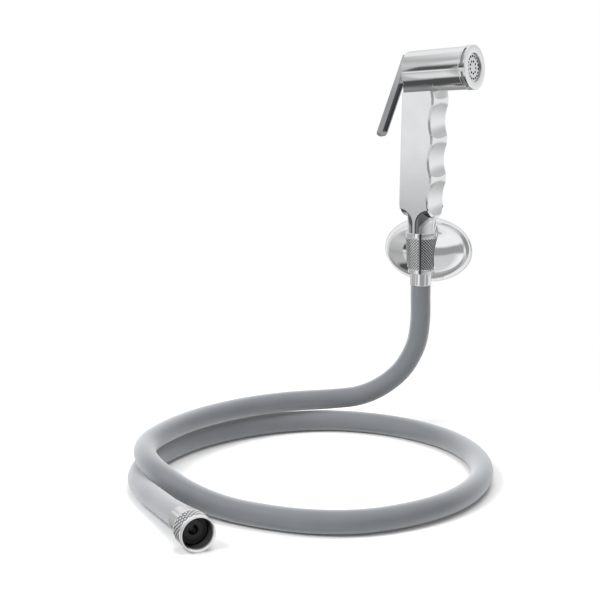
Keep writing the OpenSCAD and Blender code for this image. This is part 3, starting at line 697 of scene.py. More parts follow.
@dataclass(frozen=True)
class Knurl:
    """A diamond knurl for a turned wall.

    Attributes:
        around: the diamonds round it.
        pitch: a diamond's height.
        deep: the cuts' depth.
        per_cell: the steps round in each diamond.
        taper: how far below the largest radius the outer wall reaches.
        fade: the length at both ends in which the cuts run out.
    """

    around: int
    pitch: float
    deep: float
    per_cell: int = 8
    taper: float = 3.2
    fade: float = 0.4

    def height(self, turns: np.ndarray, rise: np.ndarray) -> np.ndarray:
        """The height, from 0 in the cuts to 1 on the peaks.

        With u = a + b and v = a - b for a = turns x count and b = rise, each diamond is a small
        pyramid: 1 minus the larger distance of u and v from their cells' middles, squared off.
        """
        a = turns * self.around
        u, v = np.mod(a + rise, 1.0), np.mod(a - rise, 1.0)
        far = np.maximum(np.abs(u - 0.5), np.abs(v - 0.5)) * 2
        return np.clip((1 - far) * 1.6, 0, 1) ** 0.9

    def shell(self, profile: np.ndarray, low: float, high: float) -> Shell:
        """A turned shell whose outer wall carries the knurl between two heights.

        The wall's radius is the profile's less the knurl's depth times one minus its height.

        Args:
            profile: the closed section as (radius, height), with dense rows in the knurl.
            low: the knurl's foot.
            high: the knurl's top.

        Returns:
            The shell, with each point's cut depth from 0 to 1, which also serves as its
            painted-shade mask.
        """
        sides = self.around * self.per_cell
        t = np.arange(sides) / sides
        r, z = profile.T
        outer = r > r.max() - self.taper
        ends = np.clip((z - low) / self.fade, 0, 1) * np.clip((high - z) / self.fade, 0, 1)
        sunk = (1 - self.height(t[:, None], (z[None] - low) / self.pitch)) * (ends * outer)
        shell = grid_shell(turned(2 * np.pi * t, r - self.deep * sunk, z), True, True)
        shell.depth = sunk.reshape(-1)
        return shell


@dataclass
class ConeNut(SubAssembly):
    """The knurled cone nut under the handset.

    Attributes:
        top_r: radius at the top of the knurl.
        foot_r: radius at its foot.
        foot_z: height of the nut's lower face.
        band_h: height of the plain band.
        cone_h: height of the knurl.
        collar_h: height of the plain collar.
        step_z: height of the step that the hose tail's flange sits on.
        bore_r: radius of the hole below that step.
        thread_r: radius of the hole above it.
        jaw_at: the bearing, in degrees, of a painted dark reflection of the gap beside the holder's
            jaw.
        knurl: its knurl.
    """

    top_r: float = 11.9
    foot_r: float = 9.7
    foot_z: float = -14.7
    band_h: float = 3.1
    cone_h: float = 23.8
    collar_h: float = 3.8
    step_z: float = 4.68
    bore_r: float = 8.2
    thread_r: float = 10.5
    jaw_at: float = -78.0
    knurl: Knurl = Knurl(31, 2.1, 0.6)

    def build(self) -> None:
        """Turns the section, with a small groove at both ends of the knurl.

        The knurl's cuts are painted dark as shade. The depth mask also paints a dark reflection
        streak at one bearing, and paints the side past it a little darker, as the gap beside the
        holder's jaw.
        """
        z0, foot_r, top_r = self.foot_z, self.foot_r, self.top_r
        z1, z2 = z0 + self.band_h, z0 + self.band_h + self.cone_h
        z3 = z2 + self.collar_h
        rows = np.linspace(z1 + 0.15, z2 - 0.15, 112)
        cone = np.stack([np.interp(rows, [z1, z2], [foot_r, top_r]), rows], -1)
        foot = rounded([(self.bore_r, z0), (foot_r, z0), (foot_r, z1 - 0.35),
                        (foot_r - 0.35, z1 - 0.1)], 0.35, closed=False)
        head = rounded([(top_r - 0.35, z2 + 0.1), (top_r, z2 + 0.4), (top_r, z3),
                        (self.thread_r, z3), (self.thread_r, self.step_z),
                        (self.bore_r, self.step_z)], 0.4, closed=False)
        shell = self.knurl.shell(np.concatenate([foot, cone, head]), z1 + 0.1, z2 - 0.1)
        # Painted reflection: a dark streak at the jaw's bearing, and painted shade on the side past
        # it.
        bearing = np.degrees(np.arctan2(shell.points[:, 1], shell.points[:, 0])) - self.jaw_at
        streak = 0.9 * np.exp(-(bearing / 5.0) ** 2)
        side = 0.3 * np.clip(bearing / 6.0, 0, 1) * np.clip((90 - bearing) / 20.0, 0, 1)
        shell.depth = np.clip(np.maximum(shell.depth, streak) + side, 0, 1)
        obj = build("cone_nut_knurled", shell.placed(ON_NUT), sharp=40)
        self.finish_piece(obj, KNURL, "cone_nut", mirrored=False)


@dataclass
class TapNut(SubAssembly):
    """The knurled tapping nut that spins on the hose's lower tail.

    Attributes:
        radius: its outer radius.
        length: its length.
        back: where its back face lies along the hose.
        back_band: the length of the plain band behind the knurl.
        front_band: the length of the plain band in front of it.
        neck_r: the radius of the hole in its back.
        thread_r: the mean radius of its thread.
        thread_deep: half the thread's height.
        thread_pitch: the thread's pitch.
        thread_end: how deep the thread reaches.
        mouth_r: the radius of its open mouth.
        relief_r: the radius behind the thread.
        shade: how dark the painted shade in its bore is, from 0 to 1.
        knurl: its knurl.
    """

    radius: float = 11.2
    length: float = 15.0
    back: float = 1.5
    back_band: float = 1.4
    front_band: float = 2.7
    neck_r: float = 6.56
    thread_r: float = 9.5
    thread_deep: float = 0.32
    thread_pitch: float = 1.81
    thread_end: float = 7.5
    mouth_r: float = 10.25
    relief_r: float = 9.75
    shade: float = 0.85
    knurl: Knurl = Knurl(20, 3.3, 0.9, 12, 0.8)

    def build(self) -> None:
        """Turns the section: stepped back, knurl, plain front band and a threaded bore painted dark
        as shade.
        """
        r, z0, z3 = self.radius, self.back, self.back + self.length
        z1, z2 = z0 + self.back_band, z3 - self.front_band
        rows = np.linspace(z1, z2, 56)
        wall = np.stack([np.full_like(rows, r), rows], -1)
        z = np.linspace(z3 - 1.2, self.thread_end, 60)
        wave = self.thread_r + self.thread_deep * np.cos(2 * np.pi * z / self.thread_pitch)
        back = rounded([(self.neck_r, z0 + 1.75), (self.neck_r, z0), (r - 1.1, z0),
                        (r - 0.35, z1 - 0.25)], 0.4, closed=False)
        front = rounded([(r - 0.3, z2 + 0.25), (r - 0.12, z2 + 0.5), (r - 0.12, z3),
                         (self.mouth_r, z3)], 0.35, closed=False)
        profile = np.concatenate([back, wall, front, np.stack([wave, z], -1),
                                  [(self.relief_r, self.thread_end - 0.2),
                                   (self.relief_r, z0 + 1.8)]])
        shell = self.knurl.shell(profile, z1, z2)
        # Painted shade: the bore takes a dark mask.
        bore = np.hypot(shell.points[:, 0], shell.points[:, 1]) < self.thread_r + 0.4
        shell.depth = np.where(bore, self.shade, shell.depth)
        obj = build("tap_nut_knurled", shell.placed(AT_HOSE_END), sharp=40)
        self.finish_piece(obj, KNURL_DEEP, "tap_nut", body=TAP_NUT)


@dataclass
class Fittings(SubAssembly):
    """Both ferrules, and the washer in the tapping nut.

    Attributes:
        inner_r: a ferrule's inner radius.
        outer_r: its outer radius.
        lip_r: the radius of the hole in its closed end.
        length: its length over the hose.
        flutes: the number of its crimp flutes.
        flute_deep: their depth.
        washer_bore: the radius of the washer's hole.
        washer_r: its outer radius.
        washer_back: where its back face lies.
    """

    inner_r: float = 7.52
    outer_r: float = 8.0
    lip_r: float = 6.6
    length: float = 15.0
    flutes: int = 14
    flute_deep: float = 0.3
    washer_bore: float = 3.3
    washer_r: float = 8.915
    washer_back: float = 5.8

    def sleeve(self) -> Shell:
        """A ferrule whose outer wall moves in by (1 - cos na) / 2 times the flutes' depth."""
        a, b, low = self.inner_r, self.outer_r, -self.length
        shell = revolve(rounded([(a, 0.0), (a, low), (b - 0.1, low), (b, low + 0.6), (b, 0.6),
                                 (b - 0.3, 1.0), (self.lip_r, 1.0), (self.lip_r, 0.0)], 0.25), 192)
        p = shell.points
        r, angle = np.hypot(p[:, 0], p[:, 1]), np.arctan2(p[:, 1], p[:, 0])
        deep = self.flute_deep * (r > b - 0.2) * np.clip(p[:, 2] - low, 0, 1)
        p[:, :2] *= (1 - deep * (1 - np.cos(self.flutes * angle)) / 2 / r)[:, None]
        return shell

    def build(self) -> None:
        """Turns both ferrules and the washer."""
        for name, node, place in (
                ("upper_ferrule_shell", "upper_ferrule", ON_NUT @ shift(0, 0, -9)),
                ("lower_ferrule_shell", "lower_ferrule", AT_HOSE_END)):
            self.finish_piece(build(name, self.sleeve().placed(place)), CHROME, node)
        bore, rim, back = self.washer_bore, self.washer_r, self.washer_back
        ring = rounded([(bore, back), (rim, back), (rim, 7.4), (6.75, 7.4), (6.55, 7.75),
                        (6.3, 7.75), (6.1, 7.2), (bore, 7.2)], 0.2)
        washer = build("tap_washer", revolve(ring, 96).placed(AT_HOSE_END))
        self.finish_piece(washer, RUBBER, "tap_nut_washer", slot=Slot.RUBBER)


@dataclass
class Handle(SubAssembly):
    """The square handle: scalloped in front, round at its foot, drawn in to a neck.

    Attributes:
        half_depth: half its depth from back to front.
        half_width: half its width.
        chamfer: the bevel along its edges.
        foot_mid: the height of the round foot's centre.
        scallop_r: the radius of the finger scallops.
        scallop_deep: their depth.
        crown: how much shallower they are at the sides.
        scallop_first: the height of the lowest one.
        pitch: the distance between them.
        top: the height of the shelf under the barrel, at the middle.
        top_slant: how much the shelf rises forwards.
        spine_half: half the spine's thickness where it is thinnest.
        cove: the radius of the coves beside it.
        spine_top: the height at which the coves end.
        spine_foot: the height of its foot.
        neck_r: the neck's radius.
        flare: how much the neck widens upwards.
        neck_foot: the height of the neck's lower end.
        neck_bend: the height at which it starts to widen.
        saddle_x: where the saddle under the barrel starts and ends.
        saddle_z: its lower and upper height from the barrel's axis.
        saddle_half: half its width.
    """

    half_depth: float = 13.2
    half_width: float = 12.4
    chamfer: float = 1.3
    foot_mid: float = 39.5
    scallop_r: float = 30.0
    scallop_deep: float = 2.85
    crown: float = 0.65
    scallop_first: float = 42.2
    pitch: float = 28.6
    top: float = 120.3
    top_slant: float = 0.105
    spine_half: float = 1.1
    cove: float = 11.0
    spine_top: float = 34.0
    spine_foot: float = 14.0
    neck_r: float = 10.4
    flare: float = 1.75
    neck_foot: float = 8.7
    neck_bend: float = 23.0
    saddle_x: tuple[float, float] = (-11.4, 13.0)
    saddle_z: tuple[float, float] = (-14.9, -8.8)
    saddle_half: float = 12.2

    def front(self, reach: np.ndarray, y: np.ndarray, z: np.ndarray) -> np.ndarray:
        """How far forward the front face lies.

        It is the least of the chamfered flat, half depth less what the reach passes the flat
        part by, and of four scallops, each the circle c - sqrt(R^2 - (z - zi)^2), whose radius
        R falls off with y squared. The least is taken softly over a third of a millimetre.

        Args:
            reach: the distance from the handle's middle line.
            y: the place across.
            z: the height.

        Returns:
            The forward distance.
        """
        flat = self.half_width - self.chamfer
        past = np.maximum(0, reach - flat)
        best = self.half_depth - past
        r = self.scallop_r - self.crown * (np.minimum(np.abs(y), flat) / flat) ** 2 + past
        centre = self.half_depth + self.scallop_r - self.scallop_deep
        for i in range(4):
            dz = z - self.scallop_first - i * self.pitch
            dip = centre - np.sqrt(np.maximum(r ** 2 - dz ** 2, 1.0))
            k = 0.35
            h = np.clip(0.5 + 0.5 * (best - dip) / k, 0, 1)
            best = best * (1 - h) + dip * h - k * h * (1 - h)
        return best

    def slab(self) -> Shell:
        """The handle's block as one grid.

        One parameter runs up one side, round the half-circle foot and up the other. The other
        crosses from the back's middle line over the side wall to the front's middle line. Both
        ends lie on the slanted shelf under the barrel, whose height is the top plus the slant
        times x.
        """
        up = np.concatenate([[self.top], np.arange(self.foot_mid, self.top - 4, 0.5)[::-1]])
        foot = np.linspace(0, np.pi, 61)[1:-1]
        mid_z = np.concatenate([up, np.full(len(foot), self.foot_mid), up[::-1]])
        cos = np.concatenate([np.ones(len(up)), np.cos(foot), -np.ones(len(up))])
        sin = np.concatenate([np.zeros(len(up)), np.sin(foot), np.zeros(len(up))])
        side, flat, edge = self.half_width, self.half_width - self.chamfer, 0.22
        back_reach = np.concatenate([np.linspace(0, flat - edge, 17), [
            flat - edge / 2, flat, flat + edge / 2, flat + edge, side - edge, side - edge / 3]])
        share = np.array([0.0, 0.02, 0.25, 0.5, 0.75, 0.98, 1.0])
        reach = np.concatenate([back_reach, np.full(len(share), side), back_reach[::-1]])
        y = reach[None] * cos[:, None]
        z = mid_z[:, None] - reach[None] * sin[:, None]
        x = self.front(np.broadcast_to(reach[None], y.shape), y, z)
        n = len(back_reach)
        x[:, :n] = -self.half_depth + np.maximum(0, back_reach - flat)
        wall = slice(n, n + len(share))
        edge_back = -self.half_depth + self.chamfer
        x[:, wall] = edge_back + (x[:, wall] - edge_back) * share
        z[[0, -1]] = self.top + self.top_slant * x[[0, -1]]
        shell = grid_shell(np.stack([x, y, z], -1), False, False)
        cols, last = x.shape[1], x.size - x.shape[1]
        shell.faces.append(list(range(cols)) + list(range(last + cols - 1, last - 1, -1)))
        return shell

    def dip(self, z: np.ndarray) -> np.ndarray:
        """How far forward the lowest scallop's circle lies at a height."""
        circle = np.sqrt(np.maximum(self.scallop_r ** 2 - (z - self.scallop_first) ** 2, 1.0))
        return self.half_depth + self.scallop_r - self.scallop_deep - circle

    def spine(self) -> Shell:
        """The flat sides drawn in to a thin spine: an outline with two coves, carried across.

        In front the outline follows the lowest scallop's circle, a little inside it.
        """
        half, cove, foot = self.spine_half, self.cove, self.spine_foot
        a = np.radians(np.linspace(180, 90, 21))
        left = np.stack([half + cove + cove * np.cos(a),
                         self.spine_top - cove + cove * np.sin(a)], -1)
        z = np.linspace(self.spine_top + 0.2, 44, 15)
        dip = self.dip(z) - 0.1
        outline = np.concatenate([[(half, foot)], left[left[:, 0] < dip[0]], np.stack([dip, z], -1),
                                  [(-11.8, 47.0)], left[::-1] * (-1, 1), [(-half, foot)]])
        return prism(outline, -self.half_width + 0.03, self.half_width - 0.03, 0.35)

    def neck(self) -> Shell:
        """The round neck, opening under the handle along a quarter circle.

        Its depth mask paints shade beside the spine: it is 1 where the distance from the middle
        plane is less than a line that widens upwards, and falls to 0 across a millimetre.
        """
        t = np.radians(np.linspace(0, 90, 19))
        low, bend, top = self.neck_foot, self.neck_bend, self.foot_mid
        flare = np.stack([self.neck_r + self.flare * (1 - np.cos(t)),
                          bend + (self.spine_top - bend) * np.sin(t)], -1)
        rows = np.stack([np.full(16, self.neck_r), np.linspace(low, bend - 0.5, 16)], -1)
        section = np.concatenate([[(0.0, low)], rows, flare, [(12.0, top), (0.0, top)]])
        shell = revolve(section, 192, closed=False)
        x, z = shell.points[:, 0], shell.points[:, 2]
        x[:] = np.minimum(x, self.dip(z) - 0.3)
        past = 3.6 + 0.9 * np.maximum(0, z - 21.0) - np.abs(x)
        shell.depth = (np.clip((past + 0.5) * 0.8, 0, 0.8)
                       + 0.45 * np.clip(past + 2.5, 0, 1) * (past < -0.5))
        return shell

    def saddle(self) -> Shell:
        """The block that joins the shelf to the barrel's round underside."""
        (a, b), half = self.saddle_x, self.saddle_half
        outline = np.array([(a, -half), (b, -half), (b, half), (a, half)])
        return prism(outline, *self.saddle_z, 0.1)

    def build(self) -> None:
        """Builds the block, spine, neck and saddle as one casting, with painted shade on the coves,
        the neck and the saddle.
        """
        for name, shell, place, finish in (
                ("handle_block", self.slab(), ON_HANDLE, CHROME),
                # Painted shade: the spine and neck darken where their masks say, and the saddle is
                # half-dark chrome.
                ("handle_spine", self.spine(), ON_HANDSET @ turn(0, 90), CHROME_PAINTED_RECESS_SHADE),
                ("handle_neck", self.neck(), ON_HANDSET, CHROME_PAINTED_RECESS_SHADE),
                ("handle_saddle", self.saddle(), ON_BARREL, CHROME_PAINTED_HALF_SHADE)):
            obj = build(name, shell.placed(place), sharp=28)
            self.finish_piece(obj, finish, "handset_body", mirrored=False)


@dataclass
class Barrel(SubAssembly):
    """The head's barrel, open at the back for the hinge carrier.

    Attributes:
        back: how far it reaches behind the neck.
        front: how far it reaches in front.
        back_r: its radius at the back.
        front_r: its radius at the cap.
        bore_r: the bore's radius at the back.
        spigot: how far its front reaches into the cap.
        spigot_r: the radius of that front.
        throat_r: the bore's radius at the front.
        seat_r: the radius inside the valve seat's ledge.
        ledge: where that ledge starts and ends along the barrel.
    """

    back: float = 11.0
    front: float = 36.6
    back_r: float = 15.0
    front_r: float = 15.5
    bore_r: float = 12.5
    spigot: float = 1.8
    spigot_r: float = 13.4
    throat_r: float = 11.5
    seat_r: float = 10.8
    ledge: tuple[float, float] = (-3.0, 5.0)

    def build(self) -> None:
        """Turns the barrel's wall with a softened rim at both ends."""
        end, (near, far) = self.front + self.spigot, self.ledge
        section = rounded([
            (self.bore_r, near), (self.bore_r, -self.back), (self.back_r, -self.back),
            (self.front_r, self.front), (self.spigot_r, self.front), (self.spigot_r, end),
            (self.throat_r, end), (self.throat_r, far), (self.seat_r, far),
            (self.seat_r, near)], 0.5, 5)
        obj = build("barrel_shell", revolve(section, 192).placed(ALONG_BARREL), sharp=40)
        self.finish_piece(obj, CHROME, "handset_body")


@dataclass
class SprayCap(SubAssembly):
    """The castellated cap ring round the nozzle plate, and the rubber lips of the jets.

    Attributes:
        radius: its outer radius.
        floor: the radius of its slots' floor.
        back: its rear face along the barrel.
        face: its front face.
        window: the radius of its opening.
        inner_r: the radius inside its skirt.
        plate_in: how far the nozzle plate lies behind its face.
        slots: the number of slots.
        rib: the angle of the rib between two slots.
        slot_from: how far behind its face the slots start.
        slot_to: how far behind it they end.
        lip: a jet lip's inner and outer radius, and its back and front off the plate.
        jets: the count and the ring's radius of the outer and the inner jets.
    """

    radius: float = 16.0
    floor: float = 14.8
    back: float = 36.6
    face: float = 41.6
    window: float = 10.3
    inner_r: float = 13.45
    plate_in: float = 1.5
    slots: int = 5
    rib: float = 16.0
    slot_from: float = 3.4
    slot_to: float = 1.4
    lip: tuple[float, float, float, float] = (0.5, 0.85, -0.3, 0.12)
    jets: tuple[tuple[int, float], ...] = ((18, 8.1), (9, 4.4))

    def build(self) -> None:
        """Turns the ring and sinks the slots.

        The outer radius is R - (R - floor) x S x Z. S is 1 in a slot's angle and Z in its
        stretch of the length, and both fall to 0 across a fifth of a millimetre.
        """
        slot_back, slot_front = self.face - self.slot_from, self.face - self.slot_to
        rim = np.array([-0.12, -0.04, 0.06, 0.14])
        outer_z = np.concatenate([[self.back + 0.45], slot_back + rim,
                                  [(slot_back + slot_front) / 2], slot_front - rim[::-1],
                                  [self.face - 0.6]])
        back = rounded([(self.inner_r, self.back), (self.radius, self.back),
                        (self.radius, self.back + 0.45)], 0.35, closed=False)[:-1]
        front = rounded([(self.radius, self.face - 0.6), (self.radius, self.face),
                         (self.window, self.face), (self.window, self.face - self.plate_in),
                         (self.inner_r, self.face - self.plate_in)], 0.45, 5, closed=False)[1:]
        outer = np.stack([np.full_like(outer_z, self.radius), outer_z], -1)
        r, z = np.concatenate([back, outer, front]).T
        step = 360 / self.slots
        slot_turn = step - self.rib
        edge, rise = 0.45 * np.array([-0.5, -0.1, 0.1, 0.5]), np.array([0, 0.4, 0.6, 1])
        inside = np.concatenate([edge, np.linspace(2, slot_turn - 2, 26), slot_turn + edge,
                                 np.linspace(slot_turn + 2, step - 2, 6)])
        level = np.concatenate([rise, np.ones(26), rise[::-1], np.zeros(6)])
        starts = self.rib / 2 - 90 + step * np.arange(self.slots)
        angle = np.radians((starts[:, None] + inside).ravel())
        inside_z = np.clip(np.minimum(z - slot_back + 0.05, slot_front - z + 0.05) / 0.1, 0, 1)
        sunk = np.tile(level, self.slots)[:, None] * (inside_z * (r > self.radius - 0.01))
        shell = grid_shell(turned(angle, r - (self.radius - self.floor) * sunk, z), True, True)
        # Painted shade: the slots and the window's wall get a dark mask.
        window = (r < self.window + 0.3) & (z < self.face - 0.3)
        shell.depth = np.maximum(sunk, window).reshape(-1)
        obj = build("spray_cap_ring", shell.placed(ALONG_BARREL), sharp=40)
        self.finish_piece(obj, CAP_PAINTED_SLOT_SHADE, "spray_cap")
        obj = build("jet_lips", self.jet_lips().placed(ALONG_BARREL), sharp=50)
        self.finish_piece(obj, RUBBER, slot=Slot.RUBBER)

    def jet_lips(self) -> Shell:
        """A low rubber lip round the mouth of each jet, in one outer and one inner ring."""
        a, b, low, high = self.lip
        one = revolve(rounded([(a, low), (b, low), (b, high), (a, high)], 0.06, 2), 20)
        plate = np.array([self.face - self.plate_in])
        centre = np.concatenate([turned(np.arange(count) / count * 2 * np.pi, np.array([r]), plate)
                                 for count, r in self.jets])
        points = (centre + one.points[None]).reshape(-1, 3)
        first = np.arange(len(centre)) * len(one.points)
        faces = np.asarray(one.faces)[None] + first[:, None, None]
        return Shell(points, faces.reshape(-1, 4).tolist())


@dataclass
class Lever(SubAssembly):
    """The trigger lever, softened along every edge, with a round end and a groove painted dark as
    shade.

    Attributes:
        length: its length below the pin.
        width: its width.
        inner: the distance from the pin to its inner face.
        groove: the groove's depth.
        groove_w: the groove's width.
        groove_ends: where the groove starts and ends below the pin.
        end_r: the radius of its lower corners.
    """

    length: float = 62.0
    width: float = 10.0
    inner: float = 4.8
    groove: float = 2.0
    groove_w: float = 7.0
    groove_ends: tuple[float, float] = (10.0, 58.0)
    end_r: float = 4.3

    def corners(self) -> Shell:
        """The cutter for both lower corners: a plate with a round-cornered bay in it."""
        half, r = self.width / 2 + 0.05, self.end_r
        t = np.radians(np.linspace(90, 0, 13))
        arc = np.stack([self.length + 0.02 - r + r * np.cos(t), half - r + r * np.sin(t)], -1)
        out, start = self.length + 4, self.length - r
        outline = np.concatenate([[(start, -half - 3), (out, -half - 3), (out, half + 3),
                                   (start, half + 3)], arc, arc[::-1] * (1, -1)])
        return prism(outline, -14.0, -2.0, 0.01).placed(ON_LEVER @ turn(0, 90))

    def build(self) -> None:
        """Rounds a merged copy of the CAD lever, paints it a darker chrome as shade, and paints the
        groove's faces near-black as shade.
        """
        obj = merged_copy("lever", "trigger_lever")
        cut(obj, SHARP, self.corners())
        soften(obj, 0.3)
        self.finish_piece(obj, CHROME_LEVER, "lever", body=LEVER, mirrored=False)
        # Painted shade: the groove's faces take the near-black chrome.
        obj.data.materials.append(self.kit.get(CHROME_SHADE))
        centre = np.zeros(len(obj.data.polygons) * 3)
        obj.data.polygons.foreach_get("center", centre)
        back = np.linalg.inv(ON_LEVER)
        x, y, z = (centre.reshape(-1, 3) / MM @ back[:3, :3].T + back[:3, 3]).T
        floor, ends = self.inner + 0.02, self.groove_ends
        inside = ((y > floor) & (y < floor + self.groove) & (x > ends[0]) & (x < ends[1])
                  & (np.abs(z) < self.groove_w / 2 + 0.02))
        obj.data.polygons.foreach_set("material_index", inside.astype(np.int32))
        obj.data.update()


@dataclass
class WallHolder(SubAssembly):
    """The oval holder: a plate on the wall and a domed hook with the cone's socket.

    Attributes:
        half_w: half the plate's width.
        half_h: half its height.
        plate: its thickness.
        inset: how far the dome stands in from the rim.
        rise: the dome's height.
        foot: the height of its upright foot.
        out: the distance from the wall to the socket's axis.
        play: the socket's play round the nut.
        socket_low: the height below which the socket is straight.
        flare_low: the height at which its mouth starts to open.
        slot_half: half the width of the slot for the hose.
        boss: half the width, half the height and the depth of the recess for the boss.
        reach: how far the cutters reach up and down.
        mouth_grow: how much wider the flared mouth is at its top.
        mouth_top: the height of that top.
    """

    half_w: float = 34.0
    half_h: float = 24.5
    plate: float = 3.0
    inset: float = 3.0
    rise: float = 22.0
    foot: float = 3.0
    out: float = 21.0
    play: float = 0.15
    socket_low: float = -11.6
    flare_low: float = 14.2
    slot_half: float = 10.6
    boss: Triple = (20.2, 13.2, 7.2)
    reach: float = 30.0
    mouth_grow: float = 2.2
    mouth_top: float = 26.5

    def dome(self) -> Shell:
        """An upright foot below half an ellipsoid.

        At angle a up the dome, its outline is (A cos a cos t, B cos a sin t) and its height is
        the foot plus the remaining rise times sin a.
        """
        a, b, foot = self.half_w - self.inset, self.half_h - self.inset, self.foot
        up = np.radians(np.linspace(0, 90, 73))
        pull = np.concatenate([[1.0, 1.0], np.cos(up)])[:, None]
        lift = np.concatenate([[0.0, 0.5 * foot], foot + (self.rise - foot) * np.sin(up)])
        t = all_round(224)
        grid = np.stack([a * pull * np.cos(t), b * pull * np.sin(t),
                         np.broadcast_to((self.plate + lift)[:, None], (len(lift), len(t)))], -1)
        shell = grid_shell(grid, False, True)
        shell.faces.append(list(range(len(t))))
        return shell.placed(ON_WALL)

    def socket_r(self, z: float) -> float:
        """The socket's radius at a height: the cone nut's, and its play."""
        nut = ConeNut
        top = nut.foot_z + nut.band_h + nut.cone_h
        return nut.top_r + self.play + (z - top) * (nut.top_r - nut.foot_r) / nut.cone_h

    def cutters(self) -> list[Shell]:
        """The cone on its foot, its flared mouth, the hose's slot and the boss's recess."""
        place = shift(0, -self.out, 0)
        end, half, low, flare = self.reach, self.slot_half, self.socket_low, self.flare_low
        low_r, flare_r = self.socket_r(low), self.socket_r(flare)
        cone = np.array([(0, -end), (low_r, -end), (low_r, low), (self.socket_r(end), end),
                         (0, end)])
        mouth = np.array([(0, flare - 0.6), (flare_r - 0.3, flare - 0.6), (flare_r, flare),
                          (flare_r + self.mouth_grow, self.mouth_top), (0, self.mouth_top)])
        slot = prism(np.array([(-half, -50.0), (half, -50.0), (half, 0.0), (-half, 0.0)]),
                     -end, end, 0.01)
        wide, high, deep = self.boss
        t = all_round(96)
        boss = prism(np.stack([wide * np.cos(t), high * np.sin(t)], -1), -1, deep, 0.01)
        return [revolve(cone, 160, closed=False).placed(place),
                revolve(mouth, 160, closed=False).placed(place),
                slot.placed(place), boss.placed(ON_WALL)]

    def build(self) -> None:
        """Cuts the dome for the nut, and softens a copy of the plate."""
        hook = build("holder_dome", self.dome())
        cut(hook, 30, *self.cutters())
        self.finish_piece(hook, CHROME, "holder_hook")
        base = merged_copy("holder_base", "holder_plate")
        soften(base, 0.5)
        self.finish_piece(base, CHROME, "holder_base")


CAD_FINISHES: dict[str, Finish] = {
    "holder_grub_screw": STEEL, "lever_pin": STEEL, "hinge_carrier": BRASS,
    "carrier_gasket": RUBBER, "stem_o_ring": RUBBER, "stem_gland": BRASS, "valve_stem": BRASS,
    "valve_disc": RUBBER, "valve_seat": BRASS, "spring_cage": PLASTIC, "valve_spring": STEEL,
    "spray_insert": PLASTIC_DARK, "cap_gasket": RUBBER, "nozzle_plate": CHROME_BRUSHED,
    "cone_nut_washer": RUBBER, "upper_hose_tail": BRASS, "lower_hose_tail": BRASS_PAINTED_SHADE,
}


def dress_cad_nodes(kit: FinishKit) -> None:
    """Gives every CAD node that stays its own finish."""
    for node, finish in CAD_FINISHES.items():
        kit.dress(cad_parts[node], finish)
        log.info("node %s: %s", node, finish.name)


# Tones of the mirrored studio, as (height angle in degrees, tone)
LEFT = ((-90, 0.35), (-71, 0.30), (-66, 0.08), (-46, 0.08), (-42, 0.34), (-38, 0.5), (-20, 0.47),
        (-10, 0.42), (-2, 0.48), (8, 0.52), (16, 0.56), (24, 0.62), (34, 0.60), (41, 0.50),
        (46, 0.50), (52, 0.62), (60, 0.8), (90, 0.8))
PLATE = ((-90, 0.6), (-50, 0.75), (-30, 0.92), (5, 0.95), (30, 0.8), (60, 0.75), (90, 0.8))
LEFT_FRONT = ((-90, 0.35), (-66, 0.10), (-45, 0.08), (-42, 0.2), (-38, 0.62), (-33, 0.80),
              (-20, 0.78), (-14, 0.68), (-10, 0.56), (-7.6, 0.56), (-5.4, 0.86), (-2.4, 0.86),
              (0.5, 0.30), (3.5, 0.085), (12, 0.085), (16, 0.17), (20, 0.42), (24, 0.66),
              (30, 0.78), (36, 0.74), (42, 0.58), (47, 0.56), (53, 0.74), (60, 0.86), (90, 0.75))
FRONT = ((-90, 0.75), (-60, 0.68), (-20, 0.66), (-15, 0.55), (-11, 0.36), (8, 0.34), (13, 0.40),
         (17, 0.72), (21, 0.98), (52, 1.0), (60, 0.92), (75, 0.75), (90, 0.75))
FRONT_RIGHT = ((-90, 0.85), (-60, 0.97), (-26, 1.0), (-21, 0.85), (-17, 0.50), (-12, 0.37),
               (8, 0.36), (13, 0.42), (17, 0.8), (21, 1.0), (52, 1.0), (60, 0.92), (75, 0.75),
               (90, 0.75))
RIGHT_BACK = ((-90, 0.6), (-60, 0.40), (-38, 0.38), (-30, 0.46), (-24, 0.54), (-19, 0.63),
              (-14, 0.74), (-8, 0.86), (0, 0.90), (3, 0.78), (7, 0.62), (12, 0.54), (18, 0.62),
              (24, 0.95), (60, 0.95), (90, 0.8))
BACK = ((-90, 0.5), (-62, 0.37), (-48, 0.31), (-30, 0.30), (-20, 0.42), (-10, 0.72), (5, 0.74),
        (15, 0.74), (26, 0.80), (40, 0.90), (60, 0.92), (90, 0.8))


